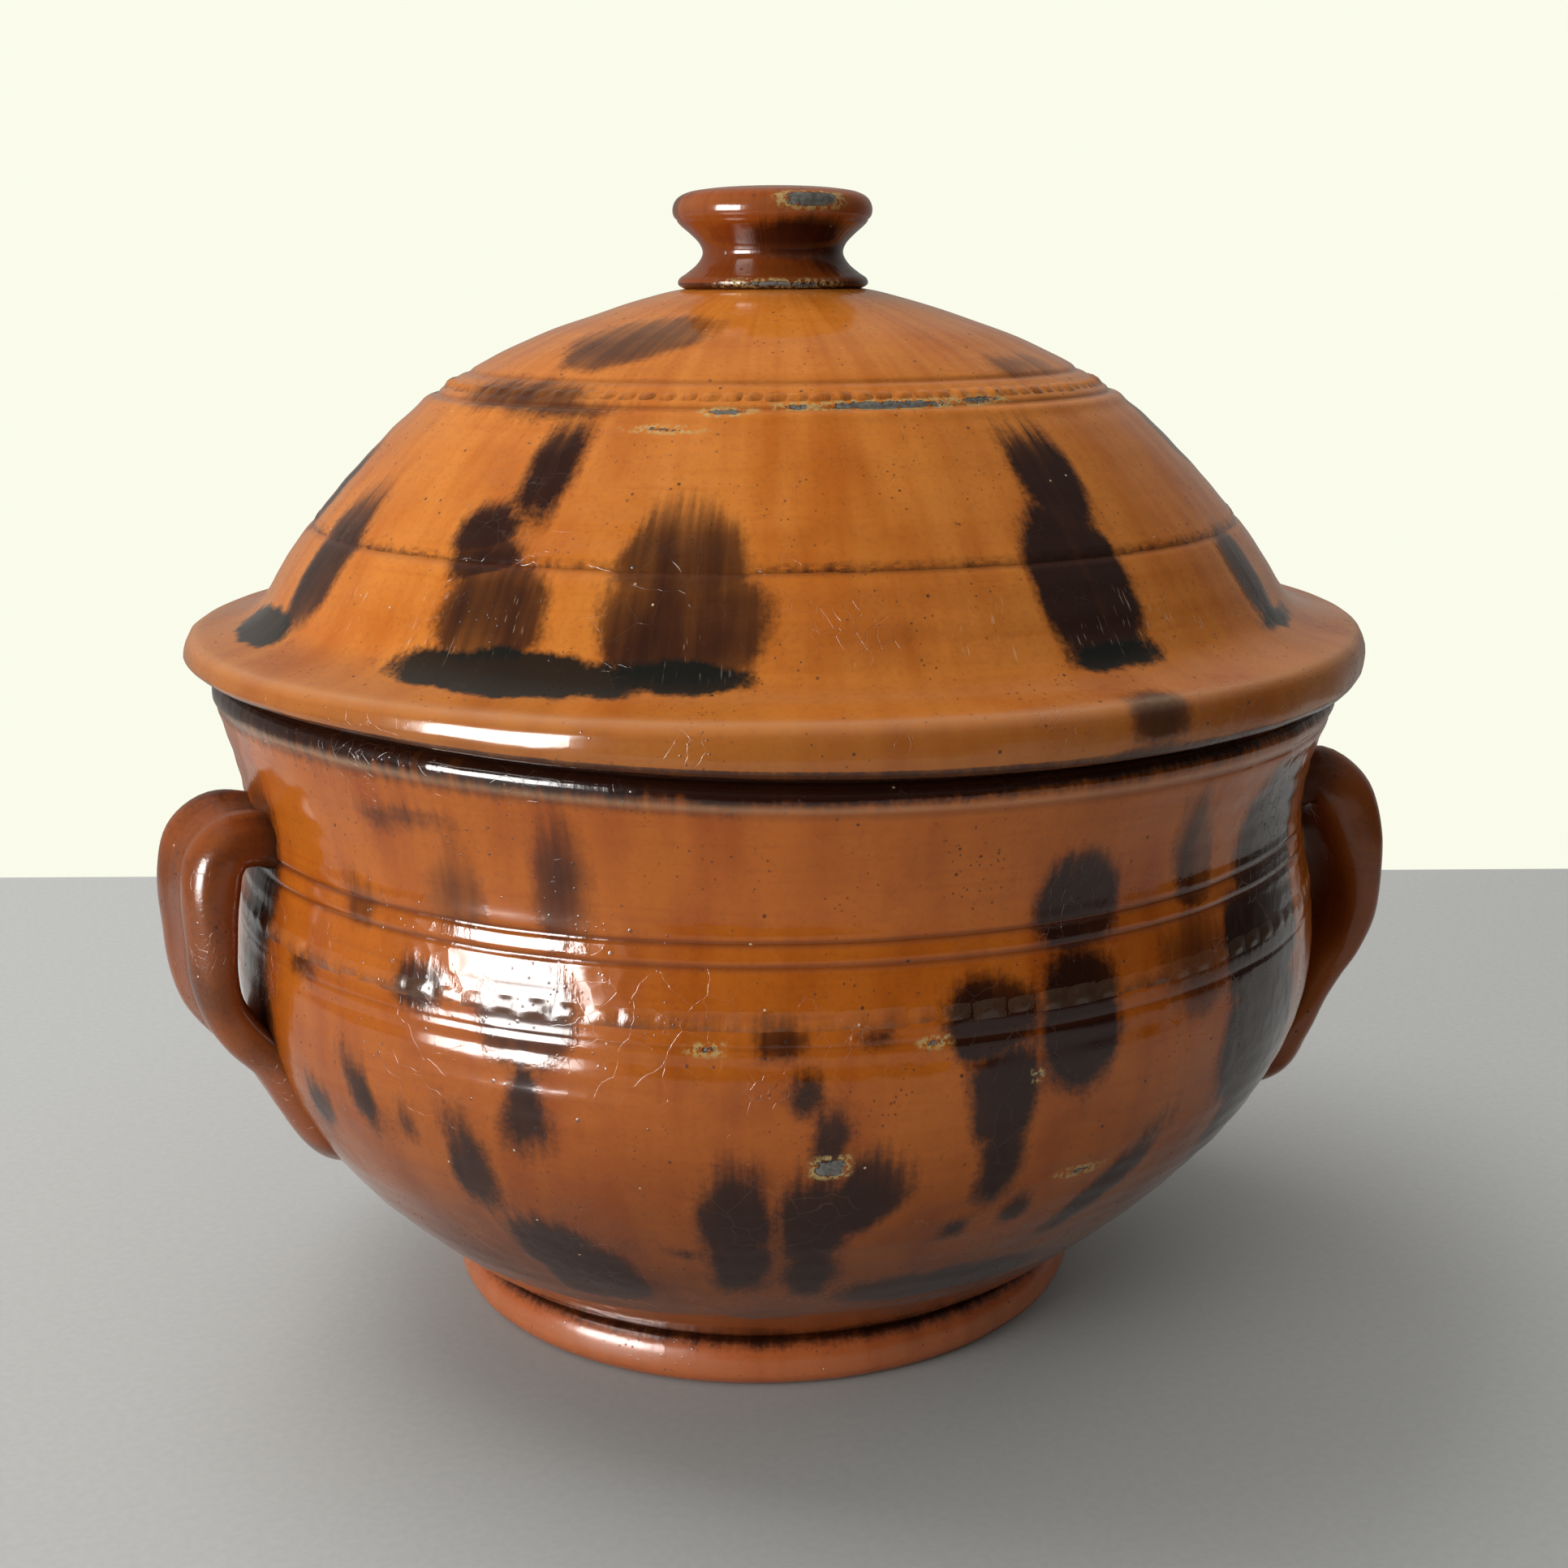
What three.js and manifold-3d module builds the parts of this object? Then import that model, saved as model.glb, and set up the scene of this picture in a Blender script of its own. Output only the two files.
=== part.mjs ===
// A lidded, lead-glazed redware pot for butter: a round footed bowl with two strap handles, and a domed
// lid with a turned knob. Millimetres, +Z up. The origin is the middle of the foot's underside.
import * as THREE from 'three';
import { mergeVertices } from 'three/addons/utils/BufferGeometryUtils.js';
import Module from 'manifold-3d';

const wasm = await Module();
wasm.setup();

// Left between two pieces of clay that touch.
const JOINT_GAP = 0.3;
const TURN_STEPS = 56;
const KNOB_STEPS = 32;

// Foot: a turned disc with a rounded edge, a little hollow underneath.
const FOOT_RADIUS = 46.4;
const FOOT_HEIGHT = 6.9;
const FOOT_ROUNDING = 2.8;
const FOOT_HOLLOW_RADIUS = 36;
const FOOT_HOLLOW_DEPTH = 1.4;

// Bowl: a full belly, two grooves round its shoulder, and a neck that opens out to the rim.
const WALL = 4.8;
const FLOOR = 6.4;
const BASE_RADIUS = 45.2;
const BELLY_RADIUS = 77.8;
const BELLY_HEIGHT = 54;
const SHOULDER_RADIUS = 76.2;
const SHOULDER_HEIGHT = 67;
const GROOVE_HEIGHTS = [68.9, 72];
const GROOVE_DEPTH = 0.7;
const GROOVE_HALF_WIDTH = 0.9;
const NECK_RADIUS = 75.5;
const NECK_HEIGHT = 74;
const RIM_RADIUS = 79.2;
const RIM_HEIGHT = 91.5;

// Lid: a flange that lies on the rim and overhangs it, and a dome that rises from a cove.
const FLANGE_RADIUS = 82.6;
const FLANGE_SEAT_RADIUS = 79.2;
const FLANGE_EDGE_BOTTOM = 93;
const FLANGE_EDGE_TOP = 98.2;
const COVE_RADIUS = 71.4;
const COVE_HEIGHT = 103.2;
const LID_WALL = 5.2;
const LID_MOUTH_RADIUS = 66.4;
const DOME_TOP_HEIGHT = 143.6;
const KNOB_SEAT_RADIUS = 12.6;

// Collar: the ring under the flange that keeps the lid from sliding off the rim.
const COLLAR_OUTER_RADIUS = 71.4;
const COLLAR_WALL = 4.6;
const COLLAR_TAPER = 0.8;
const COLLAR_DROP = 7;

// Knob: a rounded disc on a waisted stem.
const KNOB_BASE_RADIUS = 12.2;
const KNOB_WAIST_RADIUS = 9.7;
const KNOB_RADIUS = 13.8;
const KNOB_HEIGHT = 13.4;

// Handles: straps of clay on the shoulder, both set forward of the X axis, that end in a tail
// smeared down the belly. The left one was put on a little higher than the right one.
const HANDLE_WIDTH = 21;
const HANDLE_THICKNESS = 5;
const HANDLE_REACH = 88.4;
const RIGHT_HANDLE_SWEEP = 15;
const LEFT_HANDLE_SWEEP = 8.5;
const LEFT_HANDLE_RISE = 2;
const HANDLE_EDGE_ROUNDING = 2;
const HANDLE_GROOVE_WIDTH = 6;
const HANDLE_GROOVE_DEPTH = 1.2;
const TAIL_FLARE = 0.24;
const TAIL_FLARE_HEIGHTS = [36, 48];
const TAIL_NARROWING = 0.6;
const TAIL_TIP_HEIGHTS = [20, 29];

const point = (x, y) => new THREE.Vector2(x, y);

function roundStretch(stations, steps) {
  return new THREE.SplineCurve(stations.map(([x, y]) => point(x, y))).getPoints(steps);
}

// The same line moved sideways, to the left of its direction of travel.
function movedLeft(line, distance) {
  return line.map((here, i) => {
    const before = line[Math.max(i - 1, 0)];
    const after = line[Math.min(i + 1, line.length - 1)];
    const travel = after.clone().sub(before).normalize();
    return point(here.x - travel.y * distance, here.y + travel.x * distance);
  });
}

// Turns an outline of radius and height about Z. The outline runs up the outside and down the inside.
function turned(outline, steps = TURN_STEPS) {
  return new THREE.LatheGeometry(outline, steps).rotateX(Math.PI / 2);
}

function solidOf(geometry) {
  const bare = geometry.clone();
  bare.deleteAttribute('normal');
  bare.deleteAttribute('uv');
  const merged = mergeVertices(bare, 1e-4);
  const corners = [];
  for (let i = 0; i < merged.index.count; i += 3) {
    const [a, b, c] = [0, 1, 2].map((k) => merged.index.getX(i + k));
    if (a !== b && b !== c && c !== a) corners.push(a, b, c);
  }
  const mesh = new wasm.Mesh({
    numProp: 3,
    vertProperties: new Float32Array(merged.attributes.position.array),
    triVerts: new Uint32Array(corners),
  });
  return new wasm.Manifold(mesh);
}

function geometryOf(solid) {
  const mesh = solid.getMesh();
  const geometry = new THREE.BufferGeometry();
  geometry.setAttribute('position', new THREE.BufferAttribute(mesh.vertProperties, 3));
  geometry.setIndex(new THREE.BufferAttribute(mesh.triVerts, 1));
  geometry.computeVertexNormals();
  return geometry;
}

function footRing() {
  const edge = new THREE.Path();
  const middle = FOOT_HEIGHT / 2;
  edge.absellipse(FOOT_RADIUS - FOOT_ROUNDING, middle, FOOT_ROUNDING, middle, -Math.PI / 2, Math.PI / 2);
  return turned([
    point(0, FOOT_HOLLOW_DEPTH),
    point(FOOT_HOLLOW_RADIUS - 1, FOOT_HOLLOW_DEPTH),
    point(FOOT_HOLLOW_RADIUS, 0),
    ...edge.getPoints(4),
    point(0, FOOT_HEIGHT),
  ]);
}

// The outside of the bowl, from its base to the lip.
function bowlSide() {
  const base = FOOT_HEIGHT + JOINT_GAP;
  const belly = roundStretch([
    [BASE_RADIUS, base],
    [55.8, 16],
    [68, 29],
    [75.6, 41.5],
    [BELLY_RADIUS, BELLY_HEIGHT],
    [SHOULDER_RADIUS, SHOULDER_HEIGHT],
  ], 11);
  const slope = (NECK_RADIUS - SHOULDER_RADIUS) / (NECK_HEIGHT - SHOULDER_HEIGHT);
  const grooves = GROOVE_HEIGHTS.flatMap((height) => {
    const radius = SHOULDER_RADIUS + slope * (height - SHOULDER_HEIGHT);
    return [
      point(radius, height - GROOVE_HALF_WIDTH),
      point(radius - GROOVE_DEPTH, height),
      point(radius, height + GROOVE_HALF_WIDTH),
    ];
  });
  const neck = roundStretch([
    [NECK_RADIUS, NECK_HEIGHT],
    [76.2, 80],
    [78.4, 87],
    [RIM_RADIUS, RIM_HEIGHT - 1.6],
  ], 5);
  return [...belly, ...grooves, ...neck];
}

function bowl() {
  const base = FOOT_HEIGHT + JOINT_GAP;
  const side = bowlSide();
  const smoothSide = side.filter((p) => p.y <= SHOULDER_HEIGHT || p.y >= NECK_HEIGHT);
  const inside = movedLeft(smoothSide, WALL).filter((p) => p.y > base + FLOOR + 2 && p.y < RIM_HEIGHT - 1);
  return turned([
    point(0, base),
    ...side,
    point(RIM_RADIUS - 1.4, RIM_HEIGHT),
    point(RIM_RADIUS - 3.4, RIM_HEIGHT),
    ...inside.reverse(),
    point(inside.at(-1).x - 8, base + FLOOR),
    point(0, base + FLOOR),
  ]);
}

// The filled shape of the bowl and a gap round it, which the handles are cut to.
function bowlSeat() {
  const side = bowlSide().map((p) => point(p.x + JOINT_GAP, p.y));
  return solidOf(turned([point(0, side[0].y), ...side, point(0, side.at(-1).y)]));
}

function strapSection() {
  const across = HANDLE_WIDTH / 2;
  const deep = HANDLE_THICKNESS / 2;
  const round = HANDLE_EDGE_ROUNDING;
  const groove = HANDLE_GROOVE_WIDTH / 2;
  const section = new THREE.Shape();
  section.moveTo(-groove, HANDLE_GROOVE_DEPTH - deep);
  section.lineTo(groove, HANDLE_GROOVE_DEPTH - deep);
  section.lineTo(groove + HANDLE_GROOVE_DEPTH, -deep);
  section.absarc(across - round, round - deep, round, -Math.PI / 2, 0);
  section.absarc(across - round, deep - round, round, 0, Math.PI / 2);
  section.absarc(round - across, deep - round, round, Math.PI / 2, Math.PI);
  section.absarc(round - across, round - deep, round, Math.PI, Math.PI * 1.5);
  section.lineTo(-groove - HANDLE_GROOVE_DEPTH, -deep);
  section.closePath();
  return section;
}

// The strap leaves the shoulder, turns down and comes back to the belly, where its tail follows the
// wall and sinks into it. The line runs in the plane of radius and height.
function strapLine() {
  const reach = HANDLE_REACH - HANDLE_THICKNESS / 2;
  const stations = [
    [73.4, 69.4],
    [78.4, 72.3],
    [83, 70.6],
    [reach - 0.2, 65],
    [reach, 58.5],
    [reach - 0.7, 52.6],
    [82.7, 47.2],
    [79.4, 43.2],
    [76, 37.4],
    [71.8, 31],
    [67.4, 26.3],
    [61.5, 23],
  ];
  return new THREE.CatmullRomCurve3(stations.map(([x, z]) => new THREE.Vector3(x, 0, z)));
}

// The strap widens where it is smeared onto the belly and ends in a rounded tip.
function strapWidthAt(height) {
  const flare = 1 - THREE.MathUtils.smoothstep(height, ...TAIL_FLARE_HEIGHTS);
  const tip = 1 - THREE.MathUtils.smoothstep(height, ...TAIL_TIP_HEIGHTS);
  return (1 + TAIL_FLARE * flare) * (1 - TAIL_NARROWING * tip);
}

function handle(seat, turn, rise) {
  const strap = new THREE.ExtrudeGeometry(strapSection(), {
    steps: 24,
    curveSegments: 3,
    extrudePath: strapLine(),
  });
  const places = strap.attributes.position;
  for (let i = 0; i < places.count; i += 1) {
    places.setY(i, places.getY(i) * strapWidthAt(places.getZ(i)));
  }
  strap.rotateZ(THREE.MathUtils.degToRad(turn));
  strap.translate(0, 0, rise);
  return geometryOf(solidOf(strap).subtract(seat));
}

// The outside of the lid, from the flange's lower edge to the knob's seat.
function lidSide() {
  const edge = new THREE.Path();
  const edgeMiddle = (FLANGE_EDGE_BOTTOM + FLANGE_EDGE_TOP) / 2;
  const edgeHalf = (FLANGE_EDGE_TOP - FLANGE_EDGE_BOTTOM) / 2;
  edge.absellipse(FLANGE_RADIUS - 1.4, edgeMiddle, 1.4, edgeHalf, -Math.PI / 2, Math.PI / 2);
  const cove = roundStretch([
    [78, 100],
    [COVE_RADIUS + 3, 101.3],
    [COVE_RADIUS, COVE_HEIGHT],
    [69.4, 106.5],
  ], 5);
  const dome = roundStretch([
    [69.4, 106.5],
    [62.2, 115.8],
    [51.6, 126.6],
    [38.3, 135],
    [26, 139.8],
    [KNOB_SEAT_RADIUS, DOME_TOP_HEIGHT],
  ], 11);
  return { edge: edge.getPoints(4), cove, dome };
}

function lidDome() {
  const seatHeight = RIM_HEIGHT + JOINT_GAP;
  const { edge, cove, dome } = lidSide();
  const inside = movedLeft([...cove.slice(2, -1), ...dome], LID_WALL).filter((p) => p.x < LID_MOUTH_RADIUS);
  return turned([
    point(LID_MOUTH_RADIUS, seatHeight),
    point(FLANGE_SEAT_RADIUS, seatHeight),
    ...edge,
    ...cove,
    ...dome.slice(1),
    point(0, DOME_TOP_HEIGHT),
    point(0, DOME_TOP_HEIGHT - LID_WALL),
    ...inside.reverse(),
    point(LID_MOUTH_RADIUS, seatHeight),
  ]);
}

function lidCollar() {
  const top = RIM_HEIGHT;
  const bottom = RIM_HEIGHT - COLLAR_DROP;
  const inner = COLLAR_OUTER_RADIUS - COLLAR_WALL;
  return turned([
    point(inner, bottom),
    point(COLLAR_OUTER_RADIUS - COLLAR_TAPER - 1, bottom),
    point(COLLAR_OUTER_RADIUS - COLLAR_TAPER, bottom + 1),
    point(COLLAR_OUTER_RADIUS, top),
    point(inner, top),
    point(inner, bottom),
  ]);
}

function lidKnob() {
  const base = DOME_TOP_HEIGHT + JOINT_GAP;
  const side = roundStretch([
    [KNOB_BASE_RADIUS, base],
    [10.4, base + 2.2],
    [KNOB_WAIST_RADIUS, base + 4.2],
    [11.6, base + 7],
    [KNOB_RADIUS, base + 9.7],
    [12.6, base + 12],
    [8.6, base + 13.1],
  ], 11);
  return turned([point(0, base), ...side, point(0, base + KNOB_HEIGHT)], KNOB_STEPS);
}

function piece(name, geometry, color, roughness) {
  const material = new THREE.MeshStandardMaterial({ color, roughness, metalness: 0 });
  const mesh = new THREE.Mesh(geometry, material);
  mesh.name = name;
  return mesh;
}

const seat = bowlSeat();

const pot = new THREE.Group();
pot.add(
  piece('foot_ring', footRing(), 0x8a3d1c, 0.35),
  piece('pot_bowl', bowl(), 0x9c4f1c, 0.18),
  piece('handle_right', handle(seat, -RIGHT_HANDLE_SWEEP, 0), 0x9a4c1e, 0.2),
  piece('handle_left', handle(seat, 180 + LEFT_HANDLE_SWEEP, LEFT_HANDLE_RISE), 0x9a4c1e, 0.2),
);

const lid = new THREE.Group();
lid.add(
  piece('lid_dome', lidDome(), 0xa5561f, 0.16),
  piece('lid_collar', lidCollar(), 0xa1562c, 0.5),
  piece('lid_knob', lidKnob(), 0x7d3c1e, 0.2),
);

const crock = new THREE.Group();
crock.add(pot, lid);

export default crock;
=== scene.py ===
"""A covered, lead-glazed redware pot for butter: footed bowl, two strap handles, domed lid and turned knob.

The sizes below are in millimetres and degrees; meshes are made in metres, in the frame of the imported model.
"""

import logging
import math
from dataclasses import dataclass
from enum import Enum
from typing import Any, Callable, Optional, Sequence, Union

import bmesh
import bpy
import numpy as np
from mathutils import Matrix, Vector, noise


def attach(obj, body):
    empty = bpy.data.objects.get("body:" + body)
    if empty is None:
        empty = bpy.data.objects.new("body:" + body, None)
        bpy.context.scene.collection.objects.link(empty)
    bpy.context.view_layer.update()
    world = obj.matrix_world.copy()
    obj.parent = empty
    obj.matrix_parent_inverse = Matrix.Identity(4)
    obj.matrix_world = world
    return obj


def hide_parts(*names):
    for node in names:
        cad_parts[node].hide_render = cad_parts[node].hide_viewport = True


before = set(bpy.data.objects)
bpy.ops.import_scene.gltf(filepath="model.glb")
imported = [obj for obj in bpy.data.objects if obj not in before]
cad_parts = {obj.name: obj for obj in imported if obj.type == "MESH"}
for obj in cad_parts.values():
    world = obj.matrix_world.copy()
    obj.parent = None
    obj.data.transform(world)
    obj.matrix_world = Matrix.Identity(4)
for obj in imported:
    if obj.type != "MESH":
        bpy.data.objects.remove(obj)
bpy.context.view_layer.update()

LOG = logging.getLogger("butter_pot")
MM = 0.001
NOISE_SEED = 7
FULL_TURN = 360.0
NOT_MARKED = -9.0
Colour = tuple[float, float, float]
Pair = tuple[float, float]
Value = Union["Wire", float, Sequence[float]]


class Body(Enum):
    """The two loose parts of the pot."""

    POT = "pot"
    LID = "lid"


class Mark(Enum):
    """What each point of the clay carries for the glaze to show."""

    # The daub mark holds brushed manganese, and also painted shade in creases and under the lid's edge.
    DAUB_AND_SHADE = "daub_and_shade"
    TONE = "tone"
    HAIR = "hair"
    POOL = "pool"
    CHIP = "chip"
    BARE = "bare"
    WEAR = "wear"
    # The well mark holds glaze gathered in grooves, and also painted shade under the knob's disc.
    WELL_AND_SHADE = "well_and_shade"


# ---------------------------------------------------------------------------------------------------------
# Lines and turned forms
# ---------------------------------------------------------------------------------------------------------


def smoothstep(value: np.ndarray, low: float, high: float) -> np.ndarray:
    """Return a soft 0 to 1 step of value between low and high."""
    t = np.clip((value - low) / (high - low), 0.0, 1.0)
    return t * t * (3.0 - 2.0 * t)


def smooth_line(stations: Sequence[Pair], steps: int = 24) -> np.ndarray:
    """Run a rounded line through stations.

    Args:
        stations: The points that the line passes through.
        steps: How many short lengths stand for each stretch between two stations.

    Returns:
        The points of the line, one row each.
    """
    known = np.array(stations, float)
    ends = np.vstack([2 * known[0] - known[1], known, 2 * known[-1] - known[-2]])
    made = []
    for a, b, c, d in zip(ends, ends[1:], ends[2:], ends[3:]):
        ta = np.linalg.norm(b - a) ** 0.5
        tb = ta + np.linalg.norm(c - b) ** 0.5
        tc = tb + np.linalg.norm(d - c) ** 0.5
        t = np.linspace(ta, tb, steps, endpoint=False)[:, None]
        ab = a * (ta - t) / ta + b * t / ta
        bc = b * (tb - t) / (tb - ta) + c * (t - ta) / (tb - ta)
        cd = c * (tc - t) / (tc - tb) + d * (t - tb) / (tc - tb)
        abc = ab * (tb - t) / tb + bc * t / tb
        bcd = bc * (tc - t) / (tc - ta) + cd * (t - ta) / (tc - ta)
        made.append(abc * (tb - t) / (tb - ta) + bcd * (t - ta) / (tb - ta))
    return np.vstack([*made, known[-1:]])


def lengths_along(line: np.ndarray) -> np.ndarray:
    """Return how far along the line each of its points lies."""
    return np.r_[0.0, np.cumsum(np.linalg.norm(np.diff(line, axis=0), axis=1))]


def respaced(line: np.ndarray, spacing: float, fine: Sequence[float] = (), fine_spacing: float = 0.28,
             fine_reach: float = 2.2) -> np.ndarray:
    """Space the points of a line of radius and height evenly, and closer near fine detail.

    Args:
        line: The points of the line.
        spacing: The usual distance between two points.
        fine: Heights of grooves and bands that need closer points.
        fine_spacing: The distance between two points there.
        fine_reach: How far above and below such a height the closer points go.

    Returns:
        The points of the new line.
    """
    run = lengths_along(line)
    dense = np.linspace(0.0, run[-1], int(run[-1] / 0.05) + 2)
    height = np.interp(dense, run, line[:, 1])
    near = np.min([np.abs(height - z) for z in fine], axis=0) if len(fine) else np.full(dense.shape, 1e3)
    step = np.where(near < fine_reach, fine_spacing, spacing)
    count = np.r_[0.0, np.cumsum(np.diff(dense) / step[1:])]
    total = max(int(round(count[-1])), 2)
    places = np.interp(np.linspace(0.0, count[-1], total + 1), count, dense)
    return np.column_stack([np.interp(places, run, line[:, k]) for k in (0, 1)])


def moved_left(line: np.ndarray, distance: float) -> np.ndarray:
    """Move a line sideways, to the left of its direction of travel.

    Args:
        line: The points of the line.
        distance: How far it moves.

    Returns:
        The points of the new line.
    """
    travel = np.gradient(line, axis=0)
    travel /= np.linalg.norm(travel, axis=1, keepdims=True)
    return line + np.column_stack([-travel[:, 1], travel[:, 0]]) * distance


def mesh_object(name: str, points: np.ndarray, faces: Sequence[Sequence[int]]) -> bpy.types.Object:
    """Make a smooth-shaded object at the origin.

    Args:
        name: The piece's name.
        points: The vertices, in millimetres.
        faces: The vertex numbers of each face, turning left seen from outside.

    Returns:
        The new object, in the scene.
    """
    mesh = bpy.data.meshes.new(name)
    mesh.from_pydata((points * MM).tolist(), [], faces)
    mesh.validate()
    mesh.shade_smooth()
    made = bpy.data.objects.new(name, mesh)
    bpy.context.scene.collection.objects.link(made)
    return made


@dataclass(frozen=True)
class Ring:
    """A line pressed into a turned wall, or a ridge left standing on it.

    Args:
        height: Where it runs.
        depth: How deep it is; a ridge has a depth below zero.
        half_width: Half its width.
    """

    height: float
    depth: float
    half_width: float

    def cut(self, height: np.ndarray) -> np.ndarray:
        """Return how much the ring takes off the wall at each height."""
        return self.depth * np.exp(-(((height - self.height) / self.half_width) ** 2))


@dataclass(frozen=True)
class Throwing:
    """What a potter's hands leave in a turned wall: it is never quite round, level or upright.

    Args:
        oval: How far the form is out of round, and oval_towards the direction in which it is widest.
        ripple: How high the spiral ridges of the fingers stand, and ripple_pitch how far apart they are.
        dimple: How deep the soft dents are, and dimple_size how wide.
        lean: How far the foot stands off the axis, towards lean_towards, fading out at lean_height.
        dip: How far the wall sinks at dip_towards, growing between dip_heights.
        edge_lift: How far the outermost edge, from edge_lift_radii outward, rises at edge_lift_towards,
            fading between edge_lift_heights.
        seed: Which pattern of dents it has.
    """

    oval: float = 0.28
    oval_towards: float = 35.0
    ripple: float = 0.07
    ripple_pitch: float = 3.4
    dimple: float = 0.09
    dimple_size: float = 9.0
    lean: float = 0.0
    lean_towards: float = 163.0
    lean_height: float = 62.0
    dip: float = 0.0
    dip_towards: float = -62.0
    dip_heights: Pair = (72.0, 90.0)
    edge_lift: float = 0.0
    edge_lift_towards: float = 196.0
    edge_lift_heights: Pair = (91.8, 97.6)
    edge_lift_radii: Pair = (71.5, 75.0)
    seed: float = 0.0

    def shaped(self, points: np.ndarray) -> np.ndarray:
        """Move the points of a true turned form to where the hands left them.

        Args:
            points: The points of the true form, in millimetres, one row each.

        Returns:
            The same points, moved.
        """
        x, y, z = points.T
        radius = np.hypot(x, y)
        azimuth = np.arctan2(y, x)
        full = smoothstep(radius, 4.0, 30.0)
        spiral = z / self.ripple_pitch + azimuth / math.tau
        out = self.oval * np.cos(2 * (azimuth - math.radians(self.oval_towards)))
        out += self.ripple * np.sin(math.tau * spiral) * (0.6 + 0.4 * np.sin(azimuth * 2 + z * 0.11))
        bumps = [noise.noise(Vector(p) / self.dimple_size + Vector((self.seed,) * 3)) for p in points]
        out = (out + self.dimple * np.array(bumps) * 2.0) * full
        grown = 1.0 + out / np.maximum(radius, 1.0)
        lean = self.lean * (1.0 - smoothstep(z, 0.0, self.lean_height))
        towards = math.radians(self.lean_towards)
        dip = self.dip * smoothstep(z, *self.dip_heights)
        dip *= np.maximum(np.cos(azimuth - math.radians(self.dip_towards)), 0.0) ** 2
        lifted = self.edge_lift * (1.0 - smoothstep(z, *self.edge_lift_heights))
        lifted *= smoothstep(radius, *self.edge_lift_radii)
        lifted *= np.maximum(np.cos(azimuth - math.radians(self.edge_lift_towards)), 0.0) ** 3
        return np.column_stack([
            x * grown + lean * math.cos(towards),
            y * grown + lean * math.sin(towards),
            z - dip + lifted,
        ])


class Turned:
    """A mesh turned about Z from an outline, and where each of its points lies on that outline."""

    def __init__(self, name: str, outline: np.ndarray, segments: int, throwing: Throwing,
                 outside: Optional[np.ndarray] = None, closed: bool = False) -> None:
        """Turn the outline.

        Args:
            name: The piece's name.
            outline: Radius and height, up the outside and down the inside.
            segments: How many faces go round.
            throwing: How uneven the form is.
            outside: Which points of the outline lie on the outer face; all of them if it isn't given.
            closed: Whether the last point joins the first, for a ring.
        """
        self.outline = outline
        self.run = lengths_along(outline)
        turn = np.arange(segments) * math.tau / segments
        rows, faces, points, owner = [], [], [], []
        for index, (radius, height) in enumerate(outline):
            start = len(owner)
            if radius < 1e-6:
                points.append([[0.0, 0.0, height]])
                rows.append([start] * segments)
                owner.append(index)
                continue
            points.append(np.column_stack([radius * np.cos(turn), radius * np.sin(turn), turn * 0 + height]))
            rows.append(list(range(start, start + segments)))
            owner.extend([index] * segments)
        pairs = list(zip(rows, rows[1:])) + ([(rows[-1], rows[0])] if closed else [])
        for low, high in pairs:
            for k in range(segments):
                n = (k + 1) % segments
                face = [low[k], low[n], high[n], high[k]]
                faces.append(list(dict.fromkeys(face)))
        true = np.vstack(points)
        self.owner = np.array(owner)
        self.azimuth = np.degrees(np.arctan2(true[:, 1], true[:, 0]))
        self.radius = np.hypot(true[:, 0], true[:, 1])
        self.height = true[:, 2]
        self.outer = np.ones(len(outline), bool) if outside is None else outside
        self.outside = self.outer[self.owner]
        self.object = mesh_object(name, throwing.shaped(true), faces)

    def run_at(self, height: float) -> float:
        """Find how far along the outer face the outline reaches a height.

        Args:
            height: The height, in millimetres.

        Returns:
            The distance along the outline.
        """
        rows = int(self.outer.sum())
        heights = np.maximum.accumulate(self.outline[:rows, 1])
        return float(np.interp(height, heights, self.run[:rows]))


# ---------------------------------------------------------------------------------------------------------
# Brushed manganese, pools and chips
# ---------------------------------------------------------------------------------------------------------


@dataclass(frozen=True)
class Stroke:
    """One touch of the brush, or a pool or chip of that outline.

    Args:
        azimuth: Where round the pot its middle lies, in degrees.
        height: The height of its middle.
        half_width: Half its size round the pot.
        half_height: Half its size up the wall.
        tone: How thick the colour lies, 0 to 1.
        lean: How far its top leans towards greater azimuth, in degrees.
        flare: How much wider its foot is than its middle.
        hair: How much the brush hairs show at its top.
        power: 2 for an oval, more for a squarer touch.
    """

    azimuth: float
    height: float
    half_width: float
    half_height: float
    tone: float = 0.8
    lean: float = 0.0
    flare: float = 0.0
    hair: float = 0.5
    power: float = 2.4

    def depth(self, across: np.ndarray, along: np.ndarray) -> tuple[np.ndarray, np.ndarray]:
        """Measure how far inside the touch each point is.

        Args:
            across: Distance round the pot from the touch's middle.
            along: Distance up the wall from it.

        Returns:
            The depth inside the outline, and the place up the stroke from -1 at its foot to 1 at its top.
        """
        lean = math.radians(self.lean)
        a = across * math.cos(lean) + along * math.sin(-lean)
        b = across * math.sin(lean) + along * math.cos(lean)
        up = b / self.half_height
        width = self.half_width * np.maximum(1.0 - self.flare * np.clip(up, -1.2, 1.2), 0.15)
        reach = (np.abs(a / width) ** self.power + np.abs(up) ** self.power) ** (1.0 / self.power)
        return (1.0 - reach) * min(self.half_width, self.half_height), up


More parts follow.
